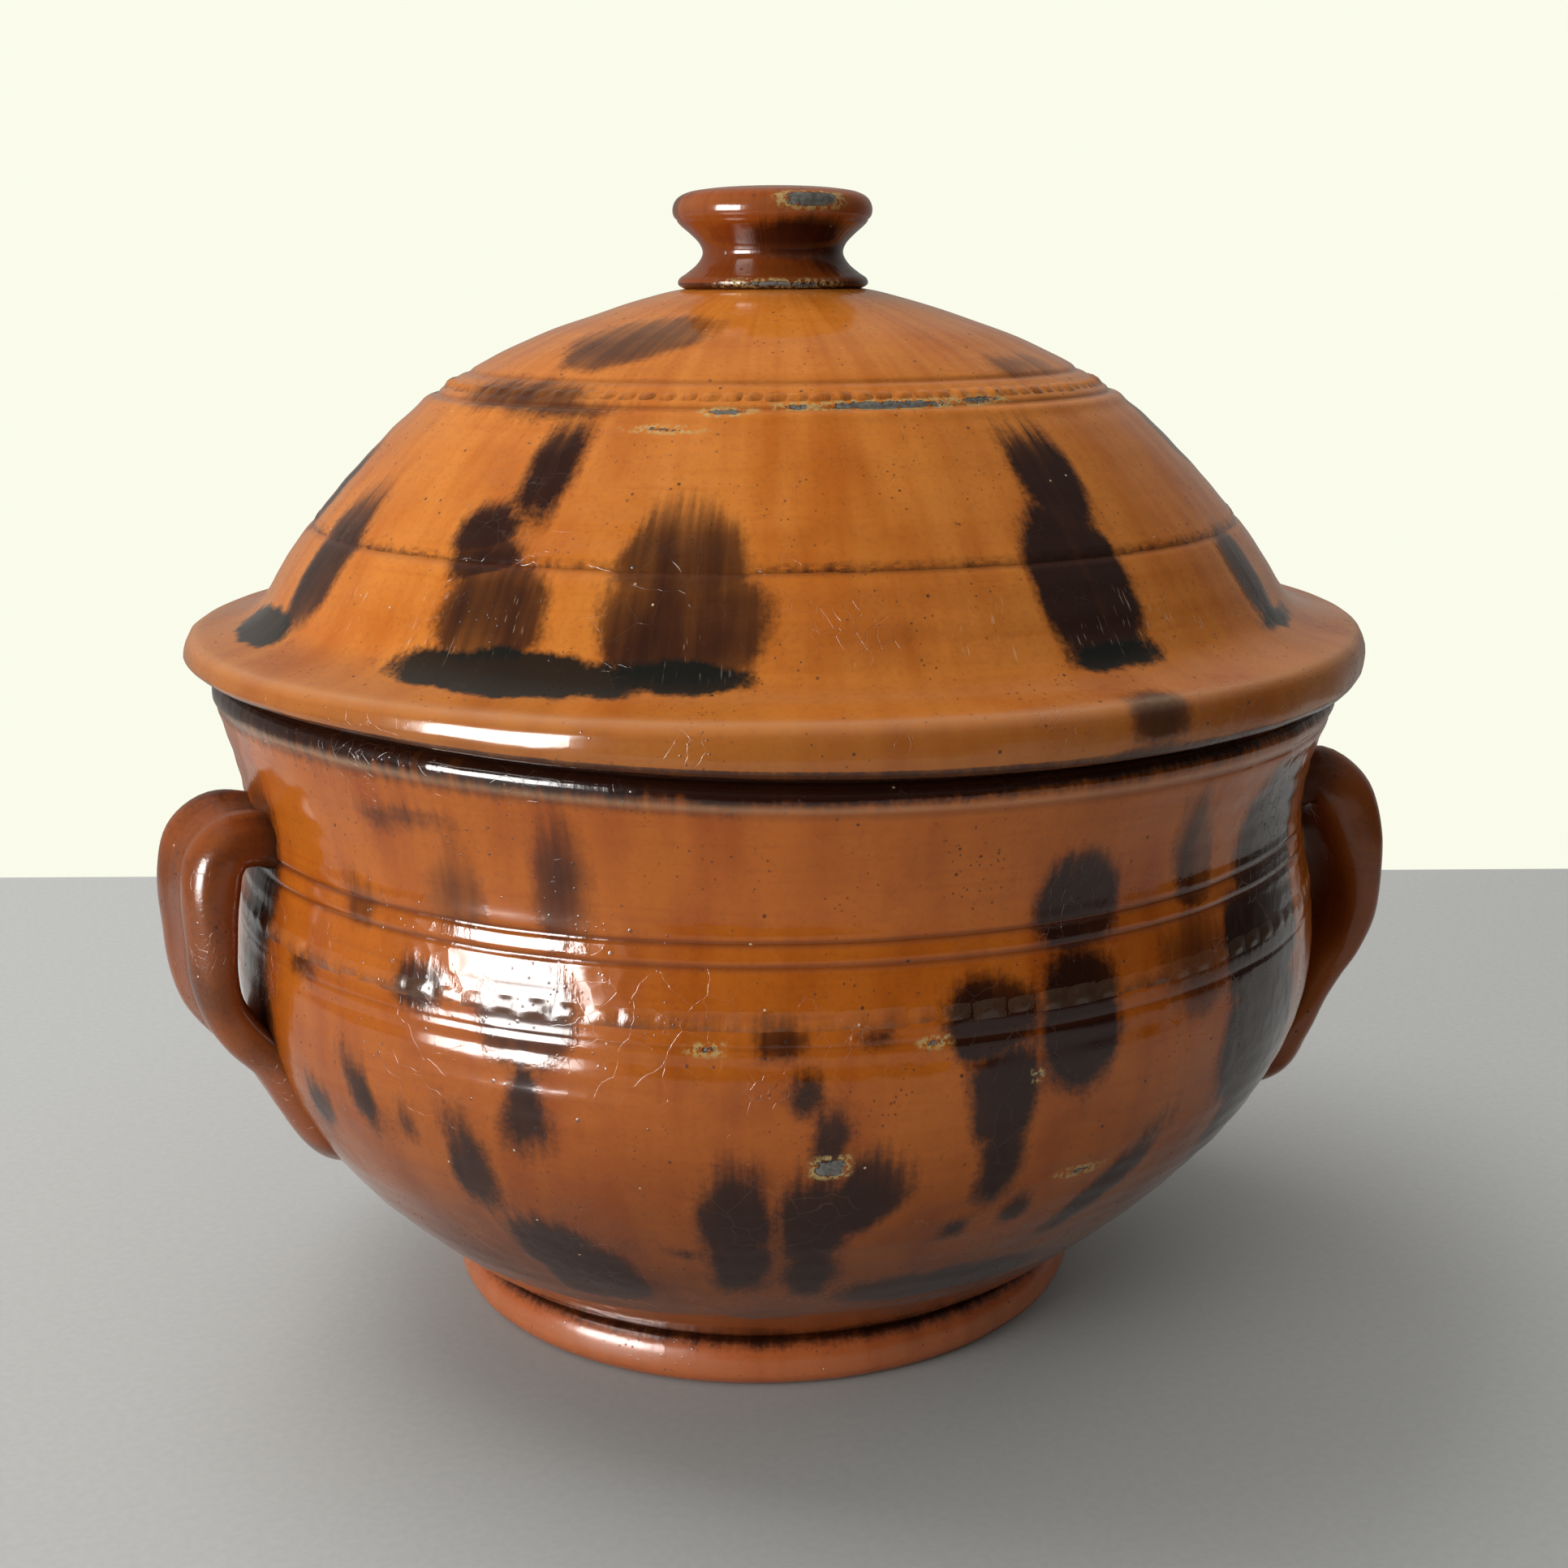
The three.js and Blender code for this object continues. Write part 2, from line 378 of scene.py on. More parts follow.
@dataclass(frozen=True)
class Markings:
    """All that is brushed, pooled or chipped on one turned form.

    Args:
        strokes: The touches of the brush.
        pools: Where dark glaze has pooled.
        chips: Where the glaze is broken away.
        wander: How far the edges of the marks wander, and wander_size over what distance.
        seed: Which way they wander.
    """

    strokes: Sequence[Stroke] = ()
    pools: Sequence[Stroke] = ()
    chips: Sequence[Stroke] = ()
    wander: float = 0.9
    wander_size: float = 5.0
    seed: float = 3.0

    def paint(self, piece: bpy.types.Object, azimuth: np.ndarray, run: np.ndarray, radius: np.ndarray,
              run_at: Callable[[float], float], outside: np.ndarray) -> dict[Mark, np.ndarray]:
        """Work out every marking's depth at every point.

        Args:
            piece: The object, whose vertices give the wandering of the edges.
            azimuth: Each point's place round the pot, in degrees.
            run: Each point's place up the wall.
            radius: Each point's distance from the axis.
            run_at: Gives the place up the wall of a height.
            outside: Which points may be marked.

        Returns:
            The value of each mark at each point.
        """
        places = np.array([v.co for v in piece.data.vertices]) / MM / self.wander_size
        shift = Vector((self.seed, self.seed * 2.0, 0.0))
        drift = np.array([noise.noise_vector(Vector(p) + shift)[:2] for p in places]) * self.wander
        blank = np.full(len(azimuth), NOT_MARKED)
        found = {Mark.DAUB_AND_SHADE: blank.copy(), Mark.POOL: blank.copy(), Mark.CHIP: blank.copy()}
        tone, hair = np.zeros(len(azimuth)), np.zeros(len(azimuth))
        for mark, touches in ((Mark.DAUB_AND_SHADE, self.strokes), (Mark.POOL, self.pools), (Mark.CHIP, self.chips)):
            sway = drift if mark is not Mark.CHIP else drift * 0.35
            for touch in touches:
                around = (azimuth - touch.azimuth + FULL_TURN / 2) % FULL_TURN - FULL_TURN / 2
                across = np.radians(around) * radius + sway[:, 0]
                along = run - run_at(touch.height) + sway[:, 1]
                depth, up = touch.depth(across, along)
                depth = np.where(outside, depth, NOT_MARKED)
                if mark is Mark.DAUB_AND_SHADE:
                    deeper = depth > found[mark]
                    tone = np.where(deeper, touch.tone, tone)
                    hair = np.where(deeper, touch.hair * smoothstep(up, 0.1, 0.9), hair)
                found[mark] = np.maximum(found[mark], depth)
        return {**found, Mark.TONE: tone, Mark.HAIR: hair}


def write_marks(piece: bpy.types.Object, marks: dict[Mark, np.ndarray]) -> None:
    """Store every mark on the points of a piece.

    Args:
        piece: The object that is marked.
        marks: The value of each mark at each vertex; a mark that isn't given is blank.
    """
    count = len(piece.data.vertices)
    for mark in Mark:
        blank = NOT_MARKED if mark in (Mark.DAUB_AND_SHADE, Mark.POOL, Mark.CHIP) else 0.0
        values = marks.get(mark, np.full(count, blank))
        layer = piece.data.attributes.new(mark.value, "FLOAT", "POINT")
        layer.data.foreach_set("value", np.clip(values, NOT_MARKED, -NOT_MARKED).astype(np.float32))


# ---------------------------------------------------------------------------------------------------------
# Shader building
# ---------------------------------------------------------------------------------------------------------


class Wire:
    """A node's output whose arithmetic adds Math nodes."""

    def __init__(self, graph: "Graph", socket: Optional[bpy.types.NodeSocket]) -> None:
        """Wrap a socket of a graph; an end node has none."""
        self.graph = graph
        self.socket = socket

    def math(self, operation: str, *others: Value) -> "Wire":
        """Return this value put through one Math node."""
        return self.graph.add("ShaderNodeMath", {"operation": operation}, {
            index: value for index, value in enumerate((self, *others))
        })

    def __add__(self, other: Value) -> "Wire":
        """Return self + other."""
        return self.math("ADD", other)

    def __sub__(self, other: Value) -> "Wire":
        """Return self - other."""
        return self.math("SUBTRACT", other)

    def __rsub__(self, other: float) -> "Wire":
        """Return other - self."""
        return self.math("MULTIPLY", -1.0).math("ADD", other)

    def __mul__(self, other: Value) -> "Wire":
        """Return self * other."""
        return self.math("MULTIPLY", other)

    def __pow__(self, other: Value) -> "Wire":
        """Return self ** other."""
        return self.math("POWER", other)

    __radd__ = __add__
    __rmul__ = __mul__

    def least(self, other: Value) -> "Wire":
        """Return the smaller of the two values."""
        return self.math("MINIMUM", other)

    def most(self, other: Value) -> "Wire":
        """Return the greater of the two values."""
        return self.math("MAXIMUM", other)

    def clipped(self) -> "Wire":
        """Return the value kept between 0 and 1."""
        return self.most(0.0).least(1.0)

    def step(self, low: float, high: float) -> "Wire":
        """Return a soft 0 to 1 step between low and high."""
        return self.graph.add("ShaderNodeMapRange", {"interpolation_type": "SMOOTHSTEP"}, {
            "Value": self, "From Min": low, "From Max": high,
        })


class Graph:
    """A material or world whose nodes are added by code."""

    def __init__(self, owner: Union[bpy.types.Material, bpy.types.World]) -> None:
        """Take over the node tree of a material or world.

        Args:
            owner: The material or world, whose old nodes are removed.
        """
        owner.use_nodes = True
        self.tree = owner.node_tree
        self.tree.nodes.clear()

    def add(self, kind: str, settings: Optional[dict[str, Any]] = None,
            inputs: Optional[dict[Union[str, int], Value]] = None, output: Union[str, int] = 0) -> Wire:
        """Add one node.

        Args:
            kind: The node's type.
            settings: Its properties, which are set first.
            inputs: The value or the link of each of its sockets.
            output: Which of its outputs is wanted.

        Returns:
            That output.
        """
        node = self.tree.nodes.new(kind)
        for name, value in (settings or {}).items():
            setattr(node, name, value)
        for name, value in (inputs or {}).items():
            if isinstance(value, Wire):
                self.tree.links.new(value.socket, node.inputs[name])
            else:
                node.inputs[name].default_value = value
        return Wire(self, node.outputs[output] if len(node.outputs) else None)

    def attribute(self, mark: Mark) -> Wire:
        """Return a mark stored on the piece's points."""
        return self.add("ShaderNodeAttribute", {"attribute_name": mark.value}, output="Fac")

    def mix(self, factor: Value, first: Value, second: Value, blend: str = "MIX") -> Wire:
        """Return two colours mixed by factor."""
        return self.add("ShaderNodeMix", {"data_type": "RGBA", "blend_type": blend}, {
            0: factor, 6: rgba(first), 7: rgba(second),
        }, 2)

    def vector(self, operation: str, first: Value, second: Value) -> Wire:
        """Return two vectors put through one Vector Math node."""
        return self.add("ShaderNodeVectorMath", {"operation": operation}, {0: first, 1: second})

    def noise(self, place: Wire, size: float, detail: float = 2.0, rough: float = 0.5,
              stretch: Sequence[float] = (1.0, 1.0, 1.0)) -> Wire:
        """Make noise.

        Args:
            place: The coordinates that it is worked out at.
            size: About how large its lumps are, in millimetres.
            detail: How many finer layers it has.
            rough: How strong the finer layers are.
            stretch: How far the lumps are drawn out along each axis.

        Returns:
            The noise, from 0 to 1.
        """
        scale = [1.0 / (size * MM * s) for s in stretch]
        return self.add("ShaderNodeTexNoise", {}, {
            "Vector": self.vector("MULTIPLY", place, scale),
            "Scale": 1.0,
            "Detail": detail,
            "Roughness": rough,
        })

    def cells(self, place: Wire, size: float, feature: str = "F1") -> Wire:
        """Return the distance pattern of cells about size across."""
        return self.add("ShaderNodeTexVoronoi", {"feature": feature}, {
            "Vector": place, "Scale": 1.0 / (size * MM),
        }, "Distance")

    def bump(self, height: Wire, distance: float, strength: float = 1.0,
             before: Optional[Wire] = None) -> Wire:
        """Bend normals by a relief.

        Args:
            height: The relief.
            distance: How far its full height stands proud, in millimetres.
            strength: How strongly it shows.
            before: The normals that it bends; the plain ones if none are given.

        Returns:
            The bent normals.
        """
        below = {} if before is None else {"Normal": before}
        return self.add("ShaderNodeBump", {}, {
            "Height": height, "Distance": distance * MM, "Strength": strength, **below,
        }, "Normal")


def rgba(colour: Value) -> Value:
    """Return a colour with its fourth value, or the wire that it is."""
    return colour if isinstance(colour, Wire) else (*colour, 1.0)


@dataclass(frozen=True)
class LeadGlaze:
    """Clear, runny lead glaze on orange clay, with brushed manganese melted into it.

    Args:
        name: The material's name.
        thin: The colour where the glaze is thin.
        amber: The colour where it has run thick.
        iron: The brown of the iron specks and stains, also used for glaze gathered in grooves and for painted
            shade.
        stain: How far the iron stains spread, 0 to 1.
        roughness: How dull the glaze is where it is clean.
        crackle: How strongly the fine crazing shows.
        scratch: How strongly pale scratches show low on the form.
        lump: How high the glaze stands in its runs, in millimetres.
        purple: The colour of the manganese, also used for painted shade.
        pool: The colour of glaze that has pooled thick and black.
        deep: The darker brown painted as shade low on the form.
        clay: The bare clay, and burnt its darker grain.
        raw: The clay in a chip, and ash its paler grain.
        flake: The yellowed edge of a chip.
        pale: The colour of pin holes, cracks and worn glaze.
        scored: The colour of a scratch.
        scratch_heights: Between which heights the scratches lie.
        ior: How strongly the glaze mirrors.
        low_shade_heights: Between which heights the painted shade low on the form fades out.
        sag: How strongly the painted shade shows.
    """

    name: str
    thin: Colour = (0.46, 0.140, 0.018)
    amber: Colour = (0.34, 0.078, 0.005)
    iron: Colour = (0.095, 0.022, 0.008)
    purple: Colour = (0.024, 0.0065, 0.0035)
    pool: Colour = (0.0065, 0.0080, 0.0068)
    deep: Colour = (0.105, 0.024, 0.005)
    clay: Colour = (0.42, 0.150, 0.070)
    burnt: Colour = (0.30, 0.095, 0.045)
    raw: Colour = (0.075, 0.070, 0.060)
    ash: Colour = (0.16, 0.15, 0.13)
    flake: Colour = (0.50, 0.36, 0.14)
    pale: Colour = (0.62, 0.42, 0.26)
    scored: Colour = (0.70, 0.56, 0.42)
    stain: float = 0.25
    roughness: float = 0.13
    crackle: float = 0.5
    scratch: float = 0.0
    scratch_heights: Pair = (101.0, 111.0)
    lump: float = 0.10
    ior: float = 1.43
    low_shade_heights: Pair = (8.0, 56.0)
    sag: float = 0.0

    def made(self) -> bpy.types.Material:
        """Build the material.

        Returns:
            The material.
        """
        material = bpy.data.materials.new(self.name)
        g = Graph(material)
        place = g.add("ShaderNodeTexCoord", output="Object")
        hairs = self.meridians(g, place)
        streak = g.noise(hairs, 1.1, 3.0, 0.55, (1.0, 1.0, 14.0))
        broad = g.noise(hairs, 4.5, 2.0, 0.5, (1.0, 1.0, 5.0))
        cloud = g.noise(place, 17.0, 3.0, 0.55)
        grain = g.noise(place, 0.7, 3.0, 0.6)
        colour = self.ground(g, place, cloud, broad, streak, grain)

        # Manganese purple over the daub mark, which also holds painted shade in creases and under the lid's
        # edge.
        daub_and_shade, tone, hair = g.attribute(Mark.DAUB_AND_SHADE), g.attribute(Mark.TONE), g.attribute(Mark.HAIR)
        ragged = (streak - 0.5) * (0.9 + 3.2 * hair) + (grain - 0.5) * 1.5 + (broad - 0.5) * 1.2 + 0.35
        covered = ((daub_and_shade + ragged) * (1.0 - 0.45 * hair)).step(-1.0, 1.25)
        thickness = tone + (streak - 0.5) * (0.25 + 0.5 * hair) + (broad - 0.5) * 0.6 + (cloud - 0.5) * 0.6
        thickness = (thickness + daub_and_shade.least(3.0) * 0.05 - hair * 0.22 - 0.06).clipped()
        dark = 1.0 - (1.0 - thickness) ** 2.2
        colour = g.mix(covered * dark, colour, self.purple)
        # Iron brown over the well mark: glaze gathered in grooves, and painted shade under the knob's disc.
        colour = g.mix(g.attribute(Mark.WELL_AND_SHADE) * 0.8, colour, self.iron)

        pool = (g.attribute(Mark.POOL) + (broad - 0.5) * 2.4 + (grain - 0.5) * 1.0).step(-0.3, 0.8)
        colour = g.mix(pool * 0.97, colour, self.pool)

        specks = self.specks(g, place)
        colour = g.mix(specks * 0.8, colour, self.purple)
        pits = self.pits(g, place)
        colour = g.mix(pits, colour, self.pale)
        craze = self.crazing(g, place, cloud)
        colour = g.mix(craze * (0.10 * self.crackle), colour, self.pale)
        scratched = self.scratches(g, hairs, place)
        colour = g.mix(scratched * 0.6, colour, self.scored)

        wear = (g.attribute(Mark.WEAR) * (0.35 + 1.2 * grain * cloud * 2.0)).clipped()
        colour = g.mix(wear * 0.55, colour, self.pale)
        bare = g.attribute(Mark.BARE) * 1.6 + (cloud - 0.5) * 1.4 + (grain - 0.5) * 0.5 - 0.35
        bare = bare.step(0.1, 0.45)
        bare = bare * g.attribute(Mark.BARE).step(0.02, 0.2)
        colour = g.mix(bare, colour, g.mix(grain, self.clay, self.burnt))
        chip, flakes = self.chips(g, grain)
        colour = g.mix(flakes, colour, self.flake)
        colour = g.mix(chip, colour, g.mix(grain.step(0.35, 0.7), self.raw, self.ash))

        dull = cloud.step(0.45, 0.75) * 0.06 + specks * 0.25 + pits * 0.4 + wear * 0.25 + craze * 0.15
        rough = dull + self.roughness - pool * (self.roughness * 0.45)
        rough = rough + bare * 0.50 + chip * 0.55 + scratched * 0.4
        height = broad * 0.55 + cloud * 0.8 + streak * covered * 0.35 + covered * 0.25 + pool * 0.4
        height = height - bare * 0.7 - chip * 5.0 + bare * grain * 0.9
        height = height + self.facets(g, place) * (0.8 * self.crackle)
        normal = g.bump(height, self.lump)
        normal = g.bump(specks * 0.5 - pits * 1.6 - craze * 0.5 - scratched * 0.4, 0.06, 1.0, normal)
        shader = g.add("ShaderNodeBsdfPrincipled", {}, {
            "Base Color": colour, "Roughness": rough.clipped(), "Normal": normal, "IOR": self.ior,
        })
        g.add("ShaderNodeOutputMaterial", {}, {"Surface": shader})
        return material

    def meridians(self, g: Graph, place: Wire) -> Wire:
        """Make coordinates that keep a streak running straight down a turned wall.

        Args:
            g: The material that is being built.
            place: The point's place in the object.

        Returns:
            The coordinates.
        """
        flat = g.vector("MULTIPLY", place, (1.0, 1.0, 0.0))
        unit = g.add("ShaderNodeVectorMath", {"operation": "NORMALIZE"}, {0: flat})
        level = g.vector("MULTIPLY", place, (0.0, 0.0, 1.0))
        return g.vector("ADD", g.vector("MULTIPLY", unit, (70 * MM, 70 * MM, 0.0)), level)

    def ground(self, g: Graph, place: Wire, cloud: Wire, broad: Wire, streak: Wire, grain: Wire) -> Wire:
        """Mix the glaze's own colour, with painted shade low on the form, before anything is brushed on it.

        Args:
            g: The material that is being built.
            place: The point's place in the object.
            cloud: Large soft patches.
            broad: Wide runs down the wall.
            streak: Narrow runs down the wall.
            grain: Fine grain.

        Returns:
            The colour.
        """
        runs = (cloud * 0.8 + broad * 0.6 - 0.2).step(0.32, 0.78)
        colour = g.mix(runs, self.thin, self.amber)
        turning = g.noise(place, 3.0, 2.0, 0.5, (9.0, 9.0, 0.32))
        colour = g.mix(turning.step(0.5, 0.8) * 0.35, colour, self.amber)
        # Painted shade: the wall is darkened towards the bottom, fading out between the given heights.
        if self.sag:
            level = g.add("ShaderNodeSeparateXYZ", {}, {0: place}, "Z") * (1.0 / MM)
            sunk = (1.0 - level.step(*self.low_shade_heights)) * (0.55 + cloud * 0.9)
            colour = g.mix(sunk.clipped() * self.sag, colour, self.deep)
        stained = (g.noise(place, 26.0, 3.0, 0.6) + (streak - 0.5) * 0.2).step(0.54, 0.80)
        colour = g.mix(stained * self.stain, colour, self.iron)
        return g.mix(grain.step(0.45, 0.75) * 0.16, colour, self.iron)

    def specks(self, g: Graph, place: Wire) -> Wire:
        """Scatter the iron specks, in two sizes, that burn through the glaze.

        Args:
            g: The material that is being built.
            place: The point's place in the object.

        Returns:
            How strongly a speck shows.
        """
        shifted = g.vector("ADD", place, (0.003, 0.011, 0.006))
        large = (1.0 - g.cells(place, 2.3).step(0.06, 0.13)) * g.noise(place, 6.0, 2.0).step(0.48, 0.60)
        small = (1.0 - g.cells(shifted, 1.1).step(0.08, 0.18)) * g.noise(shifted, 8.0, 2.0).step(0.48, 0.60)
        return large.most(small * 0.8)

    def pits(self, g: Graph, place: Wire) -> Wire:
        """Scatter the pale pin holes.

        Args:
            g: The material that is being built.
            place: The point's place in the object.

        Returns:
            How strongly a pin hole shows.
        """
        shifted = g.vector("ADD", place, (0.013, 0.007, 0.005))
        spots = 1.0 - g.cells(shifted, 4.6).step(0.022, 0.05)
        return spots * g.noise(shifted, 13.0, 1.0).step(0.48, 0.56)

    def crazing(self, g: Graph, place: Wire, cloud: Wire) -> Wire:
        """Draw the net of fine cracks in the glaze.

        Args:
            g: The material that is being built.
            place: The point's place in the object.
            cloud: Large soft patches, which hold the finest cracks.

        Returns:
            How strongly a crack shows.
        """
        bend = g.add("ShaderNodeTexNoise", {}, {"Vector": place, "Scale": 260.0, "Detail": 2.0}, "Color")
        bent = g.vector("ADD", place, g.vector("MULTIPLY", bend, (0.0022, 0.0022, 0.0022)))
        net = 1.0 - g.cells(bent, 4.2, "DISTANCE_TO_EDGE").step(0.004, 0.015)
        fine = 1.0 - g.cells(bent, 1.9, "DISTANCE_TO_EDGE").step(0.006, 0.026)
        shown = g.noise(place, 15.0, 2.0).step(0.46, 0.64)
        return (net * shown * 0.45).most(fine * cloud.step(0.56, 0.68))

    def facets(self, g: Graph, place: Wire) -> Wire:
        """Return the slight cupping of the glaze between its cracks."""
        shown = g.noise(place, 11.0, 1.0).step(0.45, 0.60)
        return g.cells(place, 2.6) * shown

    def scratches(self, g: Graph, hairs: Wire, place: Wire) -> Wire:
        """Draw the pale scratches in one band of heights.

        Args:
            g: The material that is being built.
            hairs: Coordinates that run straight down the wall.
            place: The point's place in the object.

        Returns:
            How strongly a scratch shows.
        """
        level = g.add("ShaderNodeSeparateXYZ", {}, {0: place}, "Z") * (1.0 / MM)
        low, high = self.scratch_heights
        band = level.step(low, low + 3.0) * (1.0 - level.step(high - 3.0, high))
        lines = g.noise(hairs, 0.30, 1.0, 0.4, (1.0, 1.0, 6.0)).step(0.66, 0.76)
        return lines * band * g.noise(place, 9.0, 1.0).step(0.48, 0.60) * self.scratch

    def chips(self, g: Graph, grain: Wire) -> tuple[Wire, Wire]:
        """Find where the glaze is broken away, and the yellowed flakes round it.

        Args:
            g: The material that is being built.
            grain: Fine grain, which makes the edges ragged.

        Returns:
            Where the glaze is broken away, and where a yellowed flake is left.
        """
        depth = g.attribute(Mark.CHIP) + (grain - 0.5) * 1.1
        broken = depth.step(-0.05, 0.12)
        edge = depth.step(-0.75, -0.1) * (1.0 - broken)
        return broken, edge * grain.step(0.42, 0.55) * 0.8


@dataclass(frozen=True)
class Matte:
    """A plain, pale, matte surface for the table."""

    name: str
    colour: Colour
    roughness: float = 0.85

    def made(self) -> bpy.types.Material:
        """Build the material.

        Returns:
            The material.
        """
        material = bpy.data.materials.new(self.name)
        g = Graph(material)
        place = g.add("ShaderNodeTexCoord", output="Object")
        shade = g.noise(place, 1.2, 2.0).step(0.2, 0.8)
        darker = tuple(c * 0.93 for c in self.colour)
        shader = g.add("ShaderNodeBsdfPrincipled", {}, {
            "Base Color": g.mix(shade, self.colour, darker), "Roughness": self.roughness,
        })
        g.add("ShaderNodeOutputMaterial", {}, {"Surface": shader})
        return material


# ---------------------------------------------------------------------------------------------------------
# Coggled bands: beads pressed in by a little wheel, made by Geometry Nodes
# ---------------------------------------------------------------------------------------------------------


class NodeTree:
    """A Geometry Nodes tree with named inputs."""

    def __init__(self, name: str) -> None:
        """Make an empty tree with one geometry output.

        Args:
            name: The tree's name.
        """
        self.tree = bpy.data.node_groups.new(name, "GeometryNodeTree")
        self.tree.interface.new_socket("Geometry", in_out="OUTPUT", socket_type="NodeSocketGeometry")
        self.inputs: dict[str, str] = {}
        self.source = self.tree.nodes.new("NodeGroupInput")

    def input(self, name: str, kind: str) -> bpy.types.NodeSocket:
        """Add a named input.

        Args:
            name: The input's name.
            kind: The type of its socket.

        Returns:
            The socket that gives its value.
        """
        made = self.tree.interface.new_socket(name, in_out="INPUT", socket_type=kind)
        self.inputs[name] = made.identifier
        return next(s for s in self.source.outputs if s.identifier == made.identifier)

    def add(self, kind: str, settings: Optional[dict[str, Any]] = None,
            inputs: Optional[dict[Union[str, int], Any]] = None,
            output: Union[str, int] = 0) -> bpy.types.NodeSocket:
        """Add one node.

        Args:
            kind: The node's type.
            settings: Its properties, which are set first.
            inputs: The value or the link of each of its sockets.
            output: Which of its outputs is wanted.

        Returns:
            That output.
        """
        node = self.tree.nodes.new(kind)
        for name, value in (settings or {}).items():
            setattr(node, name, value)
        for name, value in (inputs or {}).items():
            if isinstance(value, bpy.types.NodeSocket):
                self.tree.links.new(value, node.inputs[name])
            else:
                node.inputs[name].default_value = value
        return node.outputs[output]

    def math(self, operation: str, *values: Any) -> bpy.types.NodeSocket:
        """Add a Math node."""
        return self.add("ShaderNodeMath", {"operation": operation}, dict(enumerate(values)))

    def vector(self, operation: str, *values: Any) -> bpy.types.NodeSocket:
        """Add a Vector Math node."""
        return self.add("ShaderNodeVectorMath", {"operation": operation}, dict(enumerate(values)))

    def finish(self, geometry: bpy.types.NodeSocket) -> None:
        """Link the tree's output."""
        end = self.tree.nodes.new("NodeGroupOutput")
        self.tree.links.new(geometry, end.inputs[0])

    def plain_mesh(self, name: str, values: dict[str, Any]) -> bpy.types.Object:
        """Run the tree once with these inputs and keep its result as a plain mesh object.

        Args:
            name: The piece's name.
            values: The value of each named input.

        Returns:
            The new object, in the scene.
        """
        carrier = bpy.data.objects.new(name + "_carrier", bpy.data.meshes.new(name + "_carrier"))
        bpy.context.scene.collection.objects.link(carrier)
        modifier = carrier.modifiers.new("coggle", "NODES")
        modifier.node_group = self.tree
        for label, value in values.items():
            modifier[self.inputs[label]] = value
        shown = carrier.evaluated_get(bpy.context.evaluated_depsgraph_get())
        mesh = bpy.data.meshes.new_from_object(shown)
        mesh.name = name
        bpy.data.objects.remove(carrier)
        made = bpy.data.objects.new(name, mesh)
        bpy.context.scene.collection.objects.link(made)
        return made


def coggle_tree() -> NodeTree:
    """Build the tree that lays a ring of soft beads on a turned wall.

    Returns:
        The tree.
    """
    made = NodeTree("coggled band")
    count = made.input("Count", "NodeSocketInt")
    radius = made.input("Radius", "NodeSocketFloat")
    height = made.input("Height", "NodeSocketFloat")
    tilt = made.input("Facing Up", "NodeSocketFloat")
    size = made.input("Bead Size", "NodeSocketVector")
    uneven = made.input("Unevenness", "NodeSocketFloat")
    seed = made.input("Seed", "NodeSocketInt")
    material = made.input("Material", "NodeSocketMaterial")

    grid = made.add("GeometryNodeMeshGrid", {}, {
        "Size X": 2.0, "Size Y": 2.0, "Vertices X": 7, "Vertices Y": 6,
    }, "Mesh")
    spot = made.add("GeometryNodeInputPosition")
    parts = made.add("ShaderNodeSeparateXYZ", {}, {0: spot}, "X").node
    humps = [
        made.math("POWER", made.math("COSINE", made.math("MULTIPLY", parts.outputs[k], math.pi / 2)), 1.6)
        for k in (0, 1)
    ]
    rise = made.math("MULTIPLY", *humps)
    lift = made.add("ShaderNodeCombineXYZ", {}, {"Z": rise})
    bead = made.add("GeometryNodeSetPosition", {}, {"Geometry": grid, "Offset": lift})

    ring = made.add("GeometryNodeMeshCircle", {}, {"Vertices": count, "Radius": radius}, "Mesh")
    level = made.add("ShaderNodeCombineXYZ", {}, {"Z": height})
    ring = made.add("GeometryNodeSetPosition", {}, {"Geometry": ring, "Offset": level})
    out = made.vector("NORMALIZE", made.vector("MULTIPLY", spot, (1.0, 1.0, 0.0)))
    facing = made.vector("ADD", made.add("ShaderNodeVectorMath", {"operation": "SCALE"}, {
        0: out, "Scale": made.math("COSINE", tilt)}),
        made.add("ShaderNodeCombineXYZ", {}, {"Z": made.math("SINE", tilt)}))
    around = made.vector("CROSS_PRODUCT", (0.0, 0.0, 1.0), out)
    turned = made.add("FunctionNodeAlignRotationToVector", {"axis": "Z"}, {"Vector": facing})
    turned = made.add("FunctionNodeAlignRotationToVector", {"axis": "X", "pivot_axis": "Z"}, {
        "Rotation": turned, "Vector": around})
    low = made.math("SUBTRACT", 1.0, uneven)
    high = made.math("ADD", 1.0, uneven)
    jitter = made.add("FunctionNodeRandomValue", {"data_type": "FLOAT"}, {2: low, 3: high, "Seed": seed}, 1)
    scale = made.add("ShaderNodeVectorMath", {"operation": "SCALE"}, {0: size, "Scale": jitter})
    beads = made.add("GeometryNodeInstanceOnPoints", {}, {
        "Points": ring, "Instance": bead, "Rotation": turned, "Scale": scale})
    solid = made.add("GeometryNodeRealizeInstances", {}, {"Geometry": beads})
    smooth = made.add("GeometryNodeSetShadeSmooth", {}, {"Geometry": solid})
    made.finish(made.add("GeometryNodeSetMaterial", {}, {"Geometry": smooth, "Material": material}))
    return made


